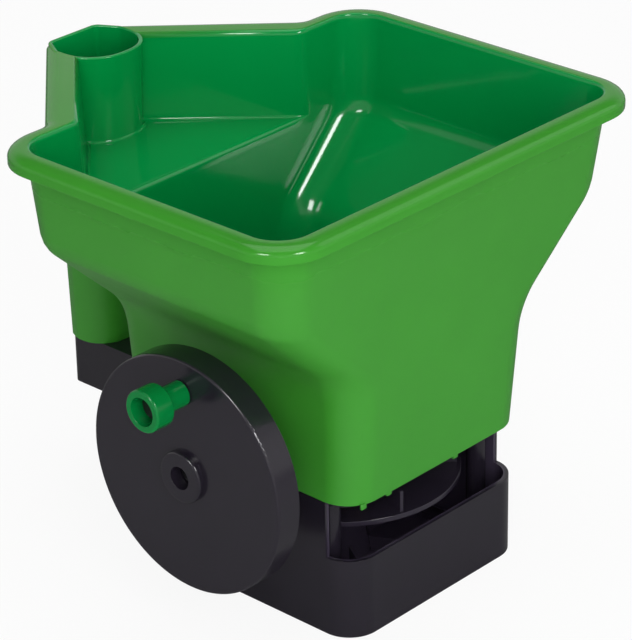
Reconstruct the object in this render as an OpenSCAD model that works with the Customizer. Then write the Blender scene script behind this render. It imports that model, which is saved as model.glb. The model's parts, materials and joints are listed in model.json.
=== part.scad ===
// Hand spreader: a hopper on a geared throwing disc, turned by a crank wheel at the side.
// -Y is the throwing side, +Y the grip, -X the crank side, +Z up. All sizes in millimetres.

/* [Hopper] */
// Width of the rim from side to side
rim_width = 236; // [216:1:260]
// Depth of the rim from its front edge to its straight rear edges
rim_depth = 175; // [168:1:190]
// How far the grip mouth stands behind the straight rear edges
grip_reach = 70.6; // [68:0.2:78]
// Height of the rim above the ground
rim_height = 213.5; // [205:0.5:225]
// Overhang of the rim beyond the hopper wall
rim_lip = 7.5; // [5:0.5:9]
// Height of the rim's outer skirt
rim_skirt = 7.2; // [5:0.1:9]
// Radius of the rim's main corners
rim_corner = 25; // [18:1:28]
// Wall thickness of the hopper moulding
hopper_wall = 2.5; // [2:0.1:3]
// Overhang of the rim beyond the walls that reach back to the grip
rear_lip = 12.5; // [10:0.5:13.5]
// Depth of the rear shelf below the rim
shelf_drop = 42.5; // [36:0.5:46]
// Length of the straight rear edges beside the grip
rear_edge = 36.1; // [34:0.1:39]
// Height of the shoulder where the side walls turn inwards
shoulder_z = 167.5; // [162:0.5:169]
// Height of the throat where the slopes meet the neck
throat_z = 126; // [122:0.5:132]
// Half width of the throat
throat_half = 61; // [60:0.5:66]
// Width of the neck at its lower edge
neck_width = 116.6; // [112:0.2:119]
// Depth of the neck at its lower edge, front to rear
neck_depth = 138.5; // [134:0.5:142]
// Distance from the rim's front edge back to the neck's front face
neck_setback = 20; // [16:0.5:22]

/* [Grip] */
// Width of the grip at its mouth
tube_width = 43.6; // [41:0.2:45]
// Depth of the grip at its mouth, front to rear
tube_depth = 37.2; // [36:0.2:39]
// Wall thickness of the grip
tube_wall = 2; // [1.6:0.1:2.2]
// How much narrower each side of the grip is at its foot
side_taper = 3.6; // [2.5:0.1:4.5]
// How far the grip's front leans back on the way down to its foot
front_taper = 6.5; // [5:0.1:7.5]
// How far the grip's rear leans in on the way down to its foot
rear_taper = 4.9; // [4:0.1:5.5]

/* [Base] */
// Height of the base, where the neck rests on it
base_height = 66; // [62:0.5:70]
// Height of the low front wall under the throwing gap
front_wall = 38.5; // [34:0.5:40]
// Depth of the base, front to rear
base_depth = 133.6; // [130:0.2:137]
// Wall thickness of the base tray
tray_wall = 2.4; // [2:0.1:3]
// Radius of the base's vertical corners
base_corner = 15; // [12:0.5:17]
// Width of the arm under the grip
arm_width = 29; // [27:0.5:32]
// Height of the arm under the grip
arm_height = 26; // [22:0.5:28]

/* [Drive] */
// Distance of the disc and crank axes behind the neck's front face
axis_setback = 59; // [58:0.5:61]
// Height of the crank axis above the top of the base
crank_rise = 14.9; // [14:0.1:15.2]
// Diameter of the crank wheel
wheel_dia = 111; // [100:0.2:116]
// Width of the crank wheel
wheel_width = 13; // [11:0.5:15]
// Gap between the neck and the back of the crank wheel
wheel_standoff = 28.1; // [26:0.1:30]
// Distance of the knob from the crank axis
knob_throw = 40.2; // [34:0.2:43]
// Diameter of the knob's head
knob_dia = 19.5; // [18:0.1:22]
// Length of the knob
knob_length = 23.1; // [22:0.1:25]
// Diameter of the crank shaft
crank_shaft_dia = 8; // [7:0.1:8.6]
// Diameter of the disc shaft
disc_shaft_dia = 6; // [5:0.1:6.4]
// Tooth size of the two gears
gear_module = 1.4; // [1.35:0.01:1.45]
// Diameter of the throwing disc
disc_dia = 109; // [98:1:109]
// Height of the top of the throwing disc
disc_top = 46; // [44:0.5:47]
// Height of the throwing vanes
vane_height = 10; // [7:0.5:10.5]

/* [Feed] */
// Height of the feed plate, the hopper's floor
feed_plate_z = 110; // [109:0.5:112]
// Width of the outlet, which is also the travel of the flow gate
outlet_width = 22; // [18:0.5:24]
// Depth of the outlet
outlet_depth = 20; // [16:0.5:22]

/* [Fits] */
// Radial clearance of a shaft turning in its bush
run_clear = 0.08; // [0.04:0.01:0.1]
// Radial clearance of pieces that are fixed together
seat_clear = 0.05; // [0.03:0.01:0.1]
// Gap between sliding and moving faces
slide_gap = 0.4; // [0.3:0.05:0.6]

/* [Hidden] */
$fn = 64;

// Colours of the mouldings and metal pieces
green = [0.16, 0.55, 0.16];
black = [0.12, 0.11, 0.13];
grey = [0.45, 0.45, 0.47];
brass = [0.72, 0.58, 0.30];
steel = [0.72, 0.72, 0.74];

// Small overlap that lets a cut pass right through a face
over = 0.5;

// Places in plan: the origin lies under the middle of the hopper, on the ground
rim_front = 124;
rim_half = rim_width / 2;
shelf_half = rim_half - rear_edge;
front_y = -rim_front;
rear_y = front_y + rim_depth;
grip_y = rear_y + grip_reach;
neck_half = neck_width / 2;
neck_front = front_y + neck_setback;
neck_rear = neck_front + neck_depth;
axis_y = neck_front + axis_setback;

// The wall leans out by the draft from the shelf up to the rim
draft = tan(6);
shelf_z = rim_height - shelf_drop;
shelf_under = shelf_z - hopper_wall;
flat_half = 15.3;
flat_corner = 3;
inner_bend_r = 12;
wall_corner = 18;
neck_corner = 16;
corner_steps = 6;

// The soft bends of the side walls start this far from each bend
shoulder_soft = 6;
throat_soft = 14;
bend_steps = 4;

function wall_inset(z) = rim_lip + draft * (rim_height - z);

// The straight rear walls and the slanted walls that reach back to the grip stand steeper
rear_draft = tan(2.2);
function rear_inset(z) = rim_lip + rear_draft * (rim_height - z);
function slant_inset(z) = rear_lip + rear_draft * (rim_height - z);
function blend(a, b, t) = a + (b - a) * t;
function below_shoulder(z) = (z - base_height) / (shoulder_z - base_height);
function wall_front(z) = z > shoulder_z
    ? front_y + wall_inset(z)
    : blend(neck_front, front_y + wall_inset(shoulder_z), below_shoulder(z));
function wall_rear(z) = z > shoulder_z
    ? rear_y - rear_inset(z)
    : blend(neck_rear, rear_y - rear_inset(shoulder_z), below_shoulder(z));
function corner_radius(z) = blend(neck_corner, wall_corner, min(1, below_shoulder(z)));
function neck_half_at(z) = blend(neck_half, throat_half, (z - base_height) / (throat_z - base_height));

// One rounded corner of a closed outline, drawn inset from the sharp outline
function turn_of(a, b, c) = atan2(cross(b - a, c - b), (b - a) * (c - b));
function unit(v) = v / norm(v);
function fillet(a, b, c, r, inset, steps) =
    let (
        turn = turn_of(a, b, c),
        along = unit(b - a),
        side = turn > 0 ? 1 : -1,
        left = [-along[1], along[0]],
        start = b - along * r * tan(abs(turn) / 2),
        centre = start + left * side * r,
        from = atan2(start[1] - centre[1], start[0] - centre[0]),
        radius = r - side * inset
    )
    [for (i = [0 : steps]) centre + radius * [cos(from + turn * i / steps), sin(from + turn * i / steps)]];

// A closed outline from corners [x, y, radius], counter-clockwise, moved in by the inset
function outline(corners, inset) =
    let (n = len(corners))
    [for (i = [0 : n - 1])
        let (a = corners[(i + n - 1) % n], b = corners[i], c = corners[(i + 1) % n])
        each fillet([a[0], a[1]], [b[0], b[1]], [c[0], c[1]], b[2], inset, corner_steps)];

// The outline of the rim, with radii that suit the given inset
function rim_corners(main_r, inset) =
    let (right = [
        [rim_half, front_y, main_r],
        [rim_half, rear_y, main_r],
        [shelf_half, rear_y, inner_bend_r],
        [flat_half, grip_y, flat_corner + inset]])
    concat(right, [for (i = [3 : -1 : 0]) [-right[i][0], right[i][1], right[i][2]]]);
function rim_edge(inset) = outline(rim_corners(rim_corner, inset), inset);

// The rear shelf's outline starts inside the bin and runs a little inside its rear wall
tuck = 0.3;
function shelf_corners(inset) =
    let (
        ear = shelf_half + inner_bend_r * tan(25) + inset + 0.8,
        right = [
            [ear, rear_y - 30 - inset, 0.5 + inset],
            [ear, rear_y - tuck, 0.5 + inset],
            [shelf_half, rear_y - tuck, inner_bend_r],
            [flat_half, grip_y, flat_corner + inset]]
    )
    concat(right, [for (i = [3 : -1 : 0]) [-right[i][0], right[i][1], right[i][2]]]);

function box_edge(half, front, rear, r) =
    outline([[half, front, r], [half, rear, r], [-half, rear, r], [-half, front, r]], 0);

// A solid through a stack of outlines that have the same number of points
module loft(levels, edges) {
    n = len(edges[0]);
    top = (len(edges) - 1) * n;
    points = [for (k = [0 : len(edges) - 1]) for (p = edges[k]) [p[0], p[1], levels[k]]];
    sides = [for (k = [0 : len(edges) - 2]) for (i = [0 : n - 1])
        let (a = k * n + i, b = k * n + (i + 1) % n)
        each [[a, a + n, b + n], [a, b + n, b]]];
    caps = [[for (i = [0 : n - 1]) i], [for (i = [n - 1 : -1 : 0]) top + i]];
    polyhedron(points = points, faces = concat(caps, sides));
}

// Side profile of the bin as [height, half width], thinned by the wall when it is the inside
function bend_point(a, b, c, soft, t) =
    let (p = b + unit(a - b) * soft, q = b + unit(c - b) * soft)
    (1 - t) * (1 - t) * p + 2 * t * (1 - t) * b + t * t * q;
function bend(a, b, c, soft) = [for (i = [0 : bend_steps]) bend_point(a, b, c, soft, i / bend_steps)];
slope_angle = atan2(rim_half - wall_inset(shoulder_z) - throat_half, shoulder_z - throat_z);
function bin_profile(thin, low, high) =
    let (
        lift = thin * tan(slope_angle / 2),
        foot = [low, neck_half_at(low) - thin],
        throat = [throat_z + lift, throat_half - thin],
        shoulder = [shoulder_z + lift, rim_half - wall_inset(shoulder_z + lift) - thin],
        top = [high, rim_half - wall_inset(high) - thin]
    )
    concat([foot], bend(foot, throat, shoulder, throat_soft), bend(throat, shoulder, top, shoulder_soft), [top]);

module bin(thin, low, high) {
    profile = bin_profile(thin, low, high);
    levels = [for (p = profile) p[0]];
    edges = [for (p = profile)
        box_edge(p[1], wall_front(p[0]) + thin, wall_rear(p[0]) - thin, corner_radius(p[0]) - thin)];
    loft(levels, edges);
}

// The part of the hopper that reaches back to the grip, between two heights
module rear_shelf(thin, low, high) {
    insets = [for (z = [low, high]) slant_inset(z) + thin];
    loft([low, high], [for (d = insets) outline(shelf_corners(d), d)]);
}

// The rolled rim: a skirt, a rounded shoulder and a flat top
rim_roll = 4;
roll_steps = 3;
module rim_solid() {
    rise = rim_height - rim_roll;
    levels = concat([rim_height - rim_skirt],
        [for (i = [0 : roll_steps]) rise + rim_roll * sin(90 * i / roll_steps)]);
    insets = concat([0], [for (i = [0 : roll_steps]) rim_roll * (1 - cos(90 * i / roll_steps))]);
    difference() {
        loft(levels, [for (d = insets) rim_edge(d)]);
        loft([rim_height - rim_skirt - over, rim_height - hopper_wall],
            [rim_edge(hopper_wall), rim_edge(hopper_wall)]);
    }
}

// The grip is one hollow shape from its mouth at the rim down to the arm: round towards the bin,
// flat behind, and tapered on the way down
tube_half = tube_width / 2;
tube_front = grip_y - tube_depth - 0.4;
tube_rear = grip_y - 0.4;
tube_side = 12;
foot_side = 8;
tube_ease = 2;
foot_ease = 4.2;
tube_flat = 15;
function way_down(z) = (rim_height - z) / (rim_height - base_height);
function grip_half(z) = tube_half - side_taper * way_down(z);
function grip_front(z) = tube_front + front_taper * way_down(z);
function grip_rear(z) = tube_rear - rear_taper * way_down(z);
function grip_round(z) = grip_half(z) - blend(tube_ease, foot_ease, way_down(z));
function grip_side(z) = grip_rear(z) - blend(tube_side, foot_side, way_down(z));
function grip_corners(z) = let (right = [
        [grip_half(z), grip_front(z), grip_round(z)],
        [grip_half(z), grip_side(z), 8],
        [tube_flat, grip_rear(z), 5]])
    concat(right, [for (i = [2 : -1 : 0]) [-right[i][0], right[i][1], right[i][2]]]);
module grip_solid(inset, low, high) {
    loft([low, high], [for (z = [low, high]) outline(grip_corners(z), inset)]);
}
column_y = (grip_front(base_height) + grip_rear(base_height)) / 2;

// Crank bearing, wheel and shaft places along X
crank_z = base_height + crank_rise;
wheel_back = -neck_half - wheel_standoff;
crank_r = crank_shaft_dia / 2;
bearing_r = 11;
slot_half = bearing_r + 1.6;

// Flow gate
gate_z = feed_plate_z - 3;
gate_thick = 2.4;
outlet_x = 10;
gate_half = outlet_depth / 2 + 3;
gate_stem_half = 8;
gate_lap = 1.5;

// Places of the screws that hold the base, chassis and hopper together
base_half = neck_half - 0.2;
base_front = neck_front + 0.4;
base_rear = base_front + base_depth;
deck_thick = 3;
deck_under = base_height - deck_thick;
screw_x = base_half - 9;
post_front = base_corner + 5;
post_rear = base_corner - 1;
screw_places = [for (x = [-screw_x, screw_x]) for (y = [base_front + post_front, base_rear - post_rear]) [x, y]];
screw_r = 1.75;
screw_hole_r = 1.95;
post_r = 4.5;
boss_height = 18;

// Three small lugs under the neck's front edge
lug_places = [9.3 - neck_half, 25.8 - neck_half, 0.2 * neck_half];
lug_size = [4, 1.4, 2.2];

module hopper() {
    color(green) difference() {
        union() {
            difference() {
                union() {
                    bin(0, base_height, rim_height - over);
                    rear_shelf(0, shelf_under, rim_height - 2 * over);
                    rim_solid();
                }
                bin(hopper_wall, base_height - over, rim_height + over);
                rear_shelf(hopper_wall, shelf_z, rim_height + 2 * over);
            }
            grip_solid(0, shelf_under + 0.3, rim_height - 0.4);
            for (p = screw_places) hopper_boss(p);
            for (x = lug_places) neck_lug(x);
        }
        grip_solid(tube_wall, shelf_under - over, rim_height + over);
        for (p = screw_places)
            translate([p[0], p[1], base_height - over]) cylinder(r = screw_hole_r, h = boss_height - 3);
        crank_slot();
        gate_slot();
    }
}

// A screw boss that runs out to the side wall
module hopper_boss(p) {
    web = 5;
    out = p[0] > 0 ? 1 : -1;
    reach = neck_half - hopper_wall / 2 - abs(p[0]);
    translate([p[0], p[1], base_height + 0.2]) hull() {
        cylinder(r = post_r, h = boss_height, $fn = 32);
        translate([out > 0 ? 0 : -reach, -web / 2, 0]) cube([reach, web, boss_height]);
    }
}

// A small rounded lug under the neck's front edge
module neck_lug(x) {
    r = lug_size[1] / 2;
    hull() for (side = [-1, 1])
        translate([x + side * (lug_size[0] / 2 - r), neck_front + 0.6 + r, base_height - lug_size[2]])
            cylinder(r = r, h = lug_size[2] + 1, $fn = 16);
}

// The slot in the neck's crank side, open below, that drops over the bearing
module crank_slot() {
    deep = 3 * hopper_wall;
    hull() {
        translate([-neck_half - deep, axis_y - slot_half, base_height - over])
            cube([2 * deep, 2 * slot_half, 1]);
        translate([-neck_half - deep, axis_y, crank_z]) rotate([0, 90, 0])
            cylinder(r = slot_half, h = 2 * deep, $fn = 48);
    }
}

// The slot with round ends that the flow gate's stem passes through
module gate_slot() {
    half_high = gate_thick / 2 + slide_gap;
    hull() for (side = [-1, 1])
        translate([neck_half - 2 * hopper_wall, axis_y + side * (gate_stem_half + slide_gap), gate_z + gate_thick / 2])
            rotate([0, 90, 0]) cylinder(r = half_high, h = 6 * hopper_wall, $fn = 24);
}

// Grip column: carries the grip's shape from the shelf down to the arm, with a spigot in the shelf
foot_floor = 4;
foot_boss = 5;
foot_boss_top = 16;
spigot = hopper_wall - 0.2;
grip_screw_r = 2;
grip_hole_r = 2.2;
grip_screw_grip = 12;
module grip_column() {
    color(green) difference() {
        union() {
            difference() {
                union() {
                    grip_solid(0, base_height, shelf_under);
                    grip_solid(tube_wall + seat_clear, shelf_under - over, shelf_under + spigot);
                }
                grip_solid(2 * tube_wall + seat_clear, base_height + foot_floor, shelf_under + spigot + over);
            }
            translate([0, column_y, base_height]) cylinder(r = foot_boss, h = foot_boss_top);
        }
        translate([0, column_y, base_height - over]) cylinder(r = grip_hole_r, h = foot_boss_top - 2);
    }
}

// A rounded rectangle from exact squares and circles
module rounded_rect(x0, x1, y0, y1, r) {
    translate([x0 + r, y0]) square([x1 - x0 - 2 * r, y1 - y0]);
    translate([x0, y0 + r]) square([x1 - x0, y1 - y0 - 2 * r]);
    for (x = [x0 + r, x1 - r]) for (y = [y0 + r, y1 - r]) translate([x, y]) circle(r = r);
}

module base_outline(inset) {
    rounded_rect(-base_half + inset, base_half - inset, base_front + inset, base_rear - inset, base_corner - inset);
}

// Base tray: low front wall, full side walls, posts and the lower bearing of the disc
tray_floor = 2.6;
arm_half = arm_width / 2;
arm_under = base_height - arm_height;
lower_bush_r = 5.5;
lower_boss_r = 8.5;
lower_boss_foot = 14;
hub_r = 9;
hub_under = disc_top - 6;
lower_bush_low = 20;
lower_flange = 1.6;
head_r = 3.2;
head_recess = 3.6;
module base_tray() {
    boss_top = hub_under - lower_flange - 0.3;
    color(black) difference() {
        union() {
            difference() {
                linear_extrude(base_height) base_outline(0);
                translate([0, 0, tray_floor]) linear_extrude(base_height) base_outline(tray_wall);
            }
            for (p = screw_places) translate([p[0], p[1], 0]) cylinder(r = post_r, h = deck_under);
            translate([0, axis_y, 0])
                cylinder(r1 = lower_boss_foot, r2 = lower_boss_r, h = boss_top);
            for (a = [0 : 60 : 300]) translate([0, axis_y, 0]) rotate(a) tray_rib();
            rear_ledge();
        }
        translate([-base_half - over, base_front - over, front_wall])
            cube([2 * (base_half + over), base_corner + over, base_height]);
        translate([-arm_half - slide_gap, base_rear - 2 * tray_wall, arm_under - slide_gap])
            cube([arm_width + 2 * slide_gap, neck_rear - base_rear + 4 * tray_wall, arm_height + over + slide_gap]);
        translate([0, axis_y, lower_bush_low]) cylinder(r = lower_bush_r + seat_clear, h = base_height);
        translate([0, axis_y, -over]) cylinder(r = disc_shaft_dia / 2 + 1, h = base_height);
        translate([-base_half - over, axis_y, crank_z]) rotate([0, 90, 0])
            cylinder(r = bearing_r + slide_gap, h = 2 * tray_wall);
        for (p = screw_places) translate([p[0], p[1], -over]) {
            cylinder(r = screw_hole_r, h = base_height);
            cylinder(r = head_r + 0.4, h = head_recess + over);
        }
    }
}

// The ledge behind the tray that carries the neck's rear edge
module rear_ledge() {
    translate([0, 0, deck_under]) linear_extrude(deck_thick) difference() {
        rounded_rect(-base_half, base_half, base_rear - 3 * base_corner, neck_rear - 0.2, base_corner);
        base_outline(tray_wall);
    }
}

// A low stiffening rib on the tray's floor
rib_height = 9;
rib_thick = 2;
module tray_rib() {
    translate([lower_boss_r, -rib_thick / 2, 0]) cube([base_half - base_corner - lower_boss_r, rib_thick, rib_height]);
}

// Chassis: the deck over the disc, the crank bearings, the feed posts and the arm under the grip
stand_half = 12;
crank_bush_r = 6;
inner_stand_x = -30;
inner_stand_thick = 8;
outer_stand_x = -neck_half + hopper_wall + 0.5;
outer_stand_thick = 6;
nose_end = wheel_back + 2;
nose_tip_r = 9.6;
deck_bush_r = 5;
feed_post_r = 4;
feed_post_x = 40;
feed_posts = [for (x = [-feed_post_x, feed_post_x]) for (y = [neck_front + 14, neck_rear - 12]) [x, y]];
feed_screw_r = 1.5;
feed_head_r = 3;
feed_hole_r = 1.7;
feed_hole_deep = 14;
feed_screw_grip = 11;
arm_rear = grip_rear(base_height) + 0.3;
arm_skin = 2.8;
arm_corner = 4;
chute_wall = 1.6;
chute_x0 = outlet_x - 1;
chute_x1 = outlet_x + outlet_width + 1;
chute_half = outlet_depth / 2 + 2;
module chassis() {
    color(black) difference() {
        union() {
            deck();
            inner_stand();
            outer_stand();
            arm();
            for (p = feed_posts)
                translate([p[0], p[1], deck_under]) cylinder(r = feed_post_r, h = feed_plate_z - deck_under);
        }
        crank_bore(crank_bush_r + seat_clear);
        translate([0, axis_y, deck_under - over]) cylinder(r = deck_bush_r + seat_clear, h = deck_thick + 2 * over);
        crown_window();
        translate([chute_x0 - chute_wall - slide_gap, axis_y - chute_half - chute_wall - slide_gap, deck_under - over])
            cube([chute_x1 - chute_x0 + 2 * (chute_wall + slide_gap),
                2 * (chute_half + chute_wall + slide_gap), deck_thick + 2 * over]);
        for (p = screw_places)
            translate([p[0], p[1], deck_under - over]) cylinder(r = screw_hole_r, h = deck_thick + 2 * over);
        for (p = feed_posts)
            translate([p[0], p[1], feed_plate_z - feed_hole_deep]) cylinder(r = feed_hole_r, h = feed_hole_deep + over);
        translate([0, column_y, arm_under - over]) cylinder(r = grip_hole_r, h = arm_height + 2 * over);
    }
}

// The deck lies inside the tray's walls and stops short of the front
deck_setback = 6;
deck_front = base_front + deck_setback;
module deck() {
    inset = tray_wall + 0.3;
    translate([0, 0, deck_under]) linear_extrude(deck_thick)
        rounded_rect(-base_half + inset, base_half - inset, deck_front, base_rear - inset, base_corner - inset);
}

module inner_stand() {
    translate([inner_stand_x, axis_y - stand_half, deck_under])
        cube([inner_stand_thick, 2 * stand_half, crank_z - deck_under]);
    translate([inner_stand_x, axis_y, crank_z]) rotate([0, 90, 0])
        cylinder(r = stand_half, h = inner_stand_thick);
}

// The outer stand fills the neck's slot and carries a nose out towards the wheel
module outer_stand() {
    fill = neck_half + outer_stand_x;
    translate([-neck_half, axis_y - stand_half + 0.6, base_height])
        cube([fill + outer_stand_thick, 2 * stand_half - 1.2, crank_rise]);
    translate([outer_stand_x, axis_y - stand_half, deck_under])
        cube([outer_stand_thick, 2 * stand_half, crank_z - deck_under]);
    translate([outer_stand_x + outer_stand_thick, axis_y, crank_z]) rotate([0, -90, 0]) {
        cylinder(r = stand_half, h = outer_stand_thick);
        cylinder(r = bearing_r, h = neck_half + outer_stand_x + outer_stand_thick);
        translate([0, 0, neck_half + outer_stand_x + outer_stand_thick])
            cylinder(r1 = bearing_r, r2 = nose_tip_r, h = -neck_half - nose_end);
    }
}

module crank_bore(r) {
    translate([wheel_back, axis_y, crank_z]) rotate([0, 90, 0])
        cylinder(r = r, h = inner_stand_x + inner_stand_thick + over - wheel_back);
}

// Window in the deck for the crown gear, with two side bays for its teeth
module crown_window() {
    reach = crown_tip_r + 1.5;
    bay = 9;
    translate([crown_back - 1, axis_y - reach, deck_under - over])
        cube([crown_face - crown_back + 2, 2 * reach, deck_thick + 2 * over]);
    for (y = [axis_y - reach, axis_y + bay])
        translate([crown_face, y, deck_under - over]) cube([6, reach - bay, deck_thick + 2 * over]);
}

// The arm is a channel, open below, with cross ribs and a boss for the grip's screw
grip_boss_r = 6;
grip_boss_rise = 8;
module arm() {
    start = base_rear - tray_wall - 6;
    difference() {
        translate([0, 0, arm_under]) linear_extrude(arm_height)
            rounded_rect(-arm_half, arm_half, start, arm_rear, arm_corner);
        translate([0, 0, arm_under - over]) linear_extrude(arm_height - arm_skin + over)
            rounded_rect(-arm_half + arm_skin, arm_half - arm_skin, start + arm_skin, arm_rear - arm_skin, 1.2);
    }
    for (y = [start + 0.3 * (arm_rear - start), start + 0.58 * (arm_rear - start)])
        translate([-arm_half + 1, y, arm_under + 4]) cube([arm_width - 2, rib_thick, arm_height - 5]);
    translate([0, column_y, arm_under + grip_boss_rise]) cylinder(r = grip_boss_r, h = arm_height - grip_boss_rise - 1);
}

// Feed plate: the hopper's floor, with the outlet, gate rails and the disc shaft's upper bush
plate_thick = 2.5;
upper_bush_r = 4.5;
upper_boss_r = 6.5;
upper_boss_top = feed_plate_z + plate_thick + 1.5;
rail_thick = 2;
rail_lip = 2;
rail_x0 = outlet_x - 4;
rail_short = 6;
rail_x1 = neck_half - hopper_wall - rail_short;
module feed_plate() {
    half = neck_half_at(feed_plate_z) - hopper_wall - slide_gap;
    low = wall_front(feed_plate_z) + hopper_wall + slide_gap;
    high = wall_rear(feed_plate_z) - hopper_wall - slide_gap;
    color(black) difference() {
        union() {
            translate([0, 0, feed_plate_z]) linear_extrude(plate_thick)
                rounded_rect(-half, half, low, high, neck_corner - hopper_wall);
            translate([0, axis_y, gate_z]) cylinder(r = upper_boss_r, h = upper_boss_top - gate_z);
            for (side = [0, 1]) translate([0, axis_y, 0]) mirror([0, side, 0]) gate_rail();
        }
        translate([0, axis_y, gate_z - over]) cylinder(r = upper_bush_r + seat_clear, h = upper_boss_top);
        translate([outlet_x, axis_y - outlet_depth / 2, feed_plate_z - over])
            cube([outlet_width, outlet_depth, plate_thick + 2 * over]);
        for (p = feed_posts)
            translate([p[0], p[1], feed_plate_z - over]) cylinder(r = feed_hole_r, h = plate_thick + 2 * over);
    }
}

// An L-shaped rail that carries one edge of the gate
module gate_rail() {
    length = rail_x1 - rail_x0;
    bottom = gate_z - slide_gap - rail_thick;
    translate([rail_x0, gate_half + slide_gap, bottom]) cube([length, rail_thick, feed_plate_z - bottom]);
    translate([rail_x0, gate_half - rail_lip, bottom]) cube([length, rail_lip + rail_thick, rail_thick]);
}

// Chute: carries the feed from the gate down to the disc
chute_top = gate_z - slide_gap - rail_thick - 0.6;
chute_under = disc_top + vane_height + 2;
module feed_chute() {
    flange = 3;
    color(grey) difference() {
        union() {
            translate([chute_x0 - chute_wall, axis_y - chute_half - chute_wall, chute_under])
                cube([chute_x1 - chute_x0 + 2 * chute_wall, 2 * (chute_half + chute_wall), chute_top - chute_under]);
            translate([chute_x0 - chute_wall, axis_y - chute_half - chute_wall - flange, base_height])
                cube([chute_x1 - chute_x0 + 2 * chute_wall + flange, 2 * (chute_half + chute_wall + flange), 2]);
        }
        translate([chute_x0, axis_y - chute_half, chute_under - over])
            cube([chute_x1 - chute_x0, 2 * chute_half, chute_top]);
    }
}

// Flow gate: a slide under the feed plate with a thumb tab outside the neck
tab_thick = 3;
tab_half = 10;
tab_height = 18;
module flow_gate() {
    inner = outlet_x - gate_lap;
    outer = neck_half_at(gate_z) + 6;
    broad = outlet_width + 2 * gate_lap;
    color(black) translate([inner, axis_y, gate_z]) {
        translate([0, -gate_half, 0]) cube([broad, 2 * gate_half, gate_thick]);
        translate([0, -gate_stem_half, 0]) cube([outer - inner, 2 * gate_stem_half, gate_thick]);
        translate([outer - inner, 0, gate_thick / 2]) rotate([0, 90, 0]) linear_extrude(tab_thick)
            rounded_rect(-tab_height / 2, tab_height / 2, -tab_half, tab_half, 4);
    }
}

// Pieces on the crank axis stand on a frame whose +Z points out of the crank side
module on_crank() {
    translate([wheel_back, axis_y, crank_z]) rotate([0, -90, 0]) children();
}

// Crank wheel: a cup with ribs behind, a hub and a raised boss
wheel_r = wheel_dia / 2;
wheel_plate = 3;
wheel_skin = 2.6;
wheel_edge = 1.4;
wheel_hub_r = 9;
wheel_boss_r = 12;
wheel_boss = 3;
boss_edge = 1.2;
wheel_recess_r = 5.4;
recess_deep = 8.5;
recess_floor = wheel_width + wheel_boss - recess_deep;
knob_pin_r = 2.5;
pin_boss_r = 6;
wheel_ribs = 6;
module crank_wheel() {
    plate_low = wheel_width - wheel_plate;
    color(black) on_crank() difference() {
        union() {
            rotate_extrude() wheel_section();
            cylinder(r = wheel_hub_r, h = wheel_width);
            translate([0, 0, wheel_width - over]) rotate_extrude()
                rounded_top(wheel_boss_r, wheel_boss + over, boss_edge);
            for (i = [0 : wheel_ribs - 1]) rotate(30 + i * 360 / wheel_ribs)
                translate([wheel_hub_r - 1, -rib_thick / 2, 3])
                    cube([wheel_r - wheel_skin - wheel_hub_r + 2, rib_thick, plate_low - 2]);
            translate([knob_throw, 0, 3]) cylinder(r = pin_boss_r, h = plate_low - 2);
        }
        translate([0, 0, -over]) cylinder(r = crank_r + seat_clear, h = recess_floor + 2 * over);
        translate([0, 0, recess_floor]) cylinder(r = wheel_recess_r, h = recess_deep + over);
        translate([knob_throw, 0, -over]) cylinder(r = knob_pin_r + seat_clear, h = wheel_width + 2 * over);
    }
}

// Half section of a round plate whose upper edge is rounded
module rounded_top(r, height, edge) {
    square([r - edge, height]);
    square([r, height - edge]);
    translate([r - edge, height - edge]) circle(r = edge);
}

// Half section of the wheel's cup, with a rounded front edge
module wheel_section() {
    difference() {
        rounded_top(wheel_r, wheel_width, wheel_edge);
        translate([0, -over]) square([wheel_r - wheel_skin, wheel_width - wheel_plate + over]);
    }
}

crank_shaft_out = recess_floor - 0.8;
crank_shaft_in = -wheel_back - 6;
wheel_screw_r = 1.6;
module crank_shaft() {
    color(steel) on_crank() difference() {
        translate([0, 0, -crank_shaft_in]) cylinder(r = crank_r, h = crank_shaft_in + crank_shaft_out);
        translate([0, 0, crank_shaft_out - 14]) cylinder(r = wheel_screw_r + seat_clear, h = 14 + over);
    }
}

// Knob: a cupped head on a slim stem, free to turn on its pin
knob_stem_r = 5.9;
knob_stem = 12.6;
knob_edge = 1.2;
knob_cup_r = 6.5;
knob_cup = 9;
knob_foot = wheel_width + slide_gap;
knob_floor = knob_foot + knob_length - knob_cup;
module crank_knob() {
    knob_r = knob_dia / 2;
    color(green) on_crank() translate([knob_throw, 0, knob_foot]) rotate_extrude() difference() {
        union() {
            square([knob_stem_r, knob_length - 1]);
            translate([0, knob_stem]) square([knob_r - knob_edge, knob_length - knob_stem]);
            translate([0, knob_stem + knob_edge])
                square([knob_r, knob_length - knob_stem - 2 * knob_edge]);
            for (z = [knob_stem + knob_edge, knob_length - knob_edge])
                translate([knob_r - knob_edge, z]) circle(r = knob_edge);
        }
        translate([0, knob_length - knob_cup]) square([knob_cup_r, knob_cup + over]);
        translate([0, -over]) square([knob_pin_r + run_clear, knob_length + 2 * over]);
    }
}

pin_head_r = 5.4;
pin_head = 2.6;
module knob_pin() {
    low = 4;
    color(steel) on_crank() translate([knob_throw, 0, 0]) {
        translate([0, 0, low]) cylinder(r = knob_pin_r, h = knob_floor + slide_gap - low + over);
        translate([0, 0, knob_floor + slide_gap]) cylinder(r = pin_head_r, h = pin_head);
    }
}

washer = 0.6;
module wheel_washer() {
    color(steel) on_crank() translate([0, 0, recess_floor]) difference() {
        cylinder(r = wheel_recess_r - 0.2, h = washer);
        translate([0, 0, -over]) cylinder(r = wheel_screw_r + 0.1, h = washer + 2 * over);
    }
}

module wheel_screw() {
    color(steel) on_crank() {
        translate([0, 0, recess_floor + washer]) cylinder(r = wheel_recess_r - 0.6, h = 1.6);
        translate([0, 0, crank_shaft_out - 12])
            cylinder(r = wheel_screw_r, h = recess_floor + washer + over - crank_shaft_out + 12);
    }
}

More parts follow.
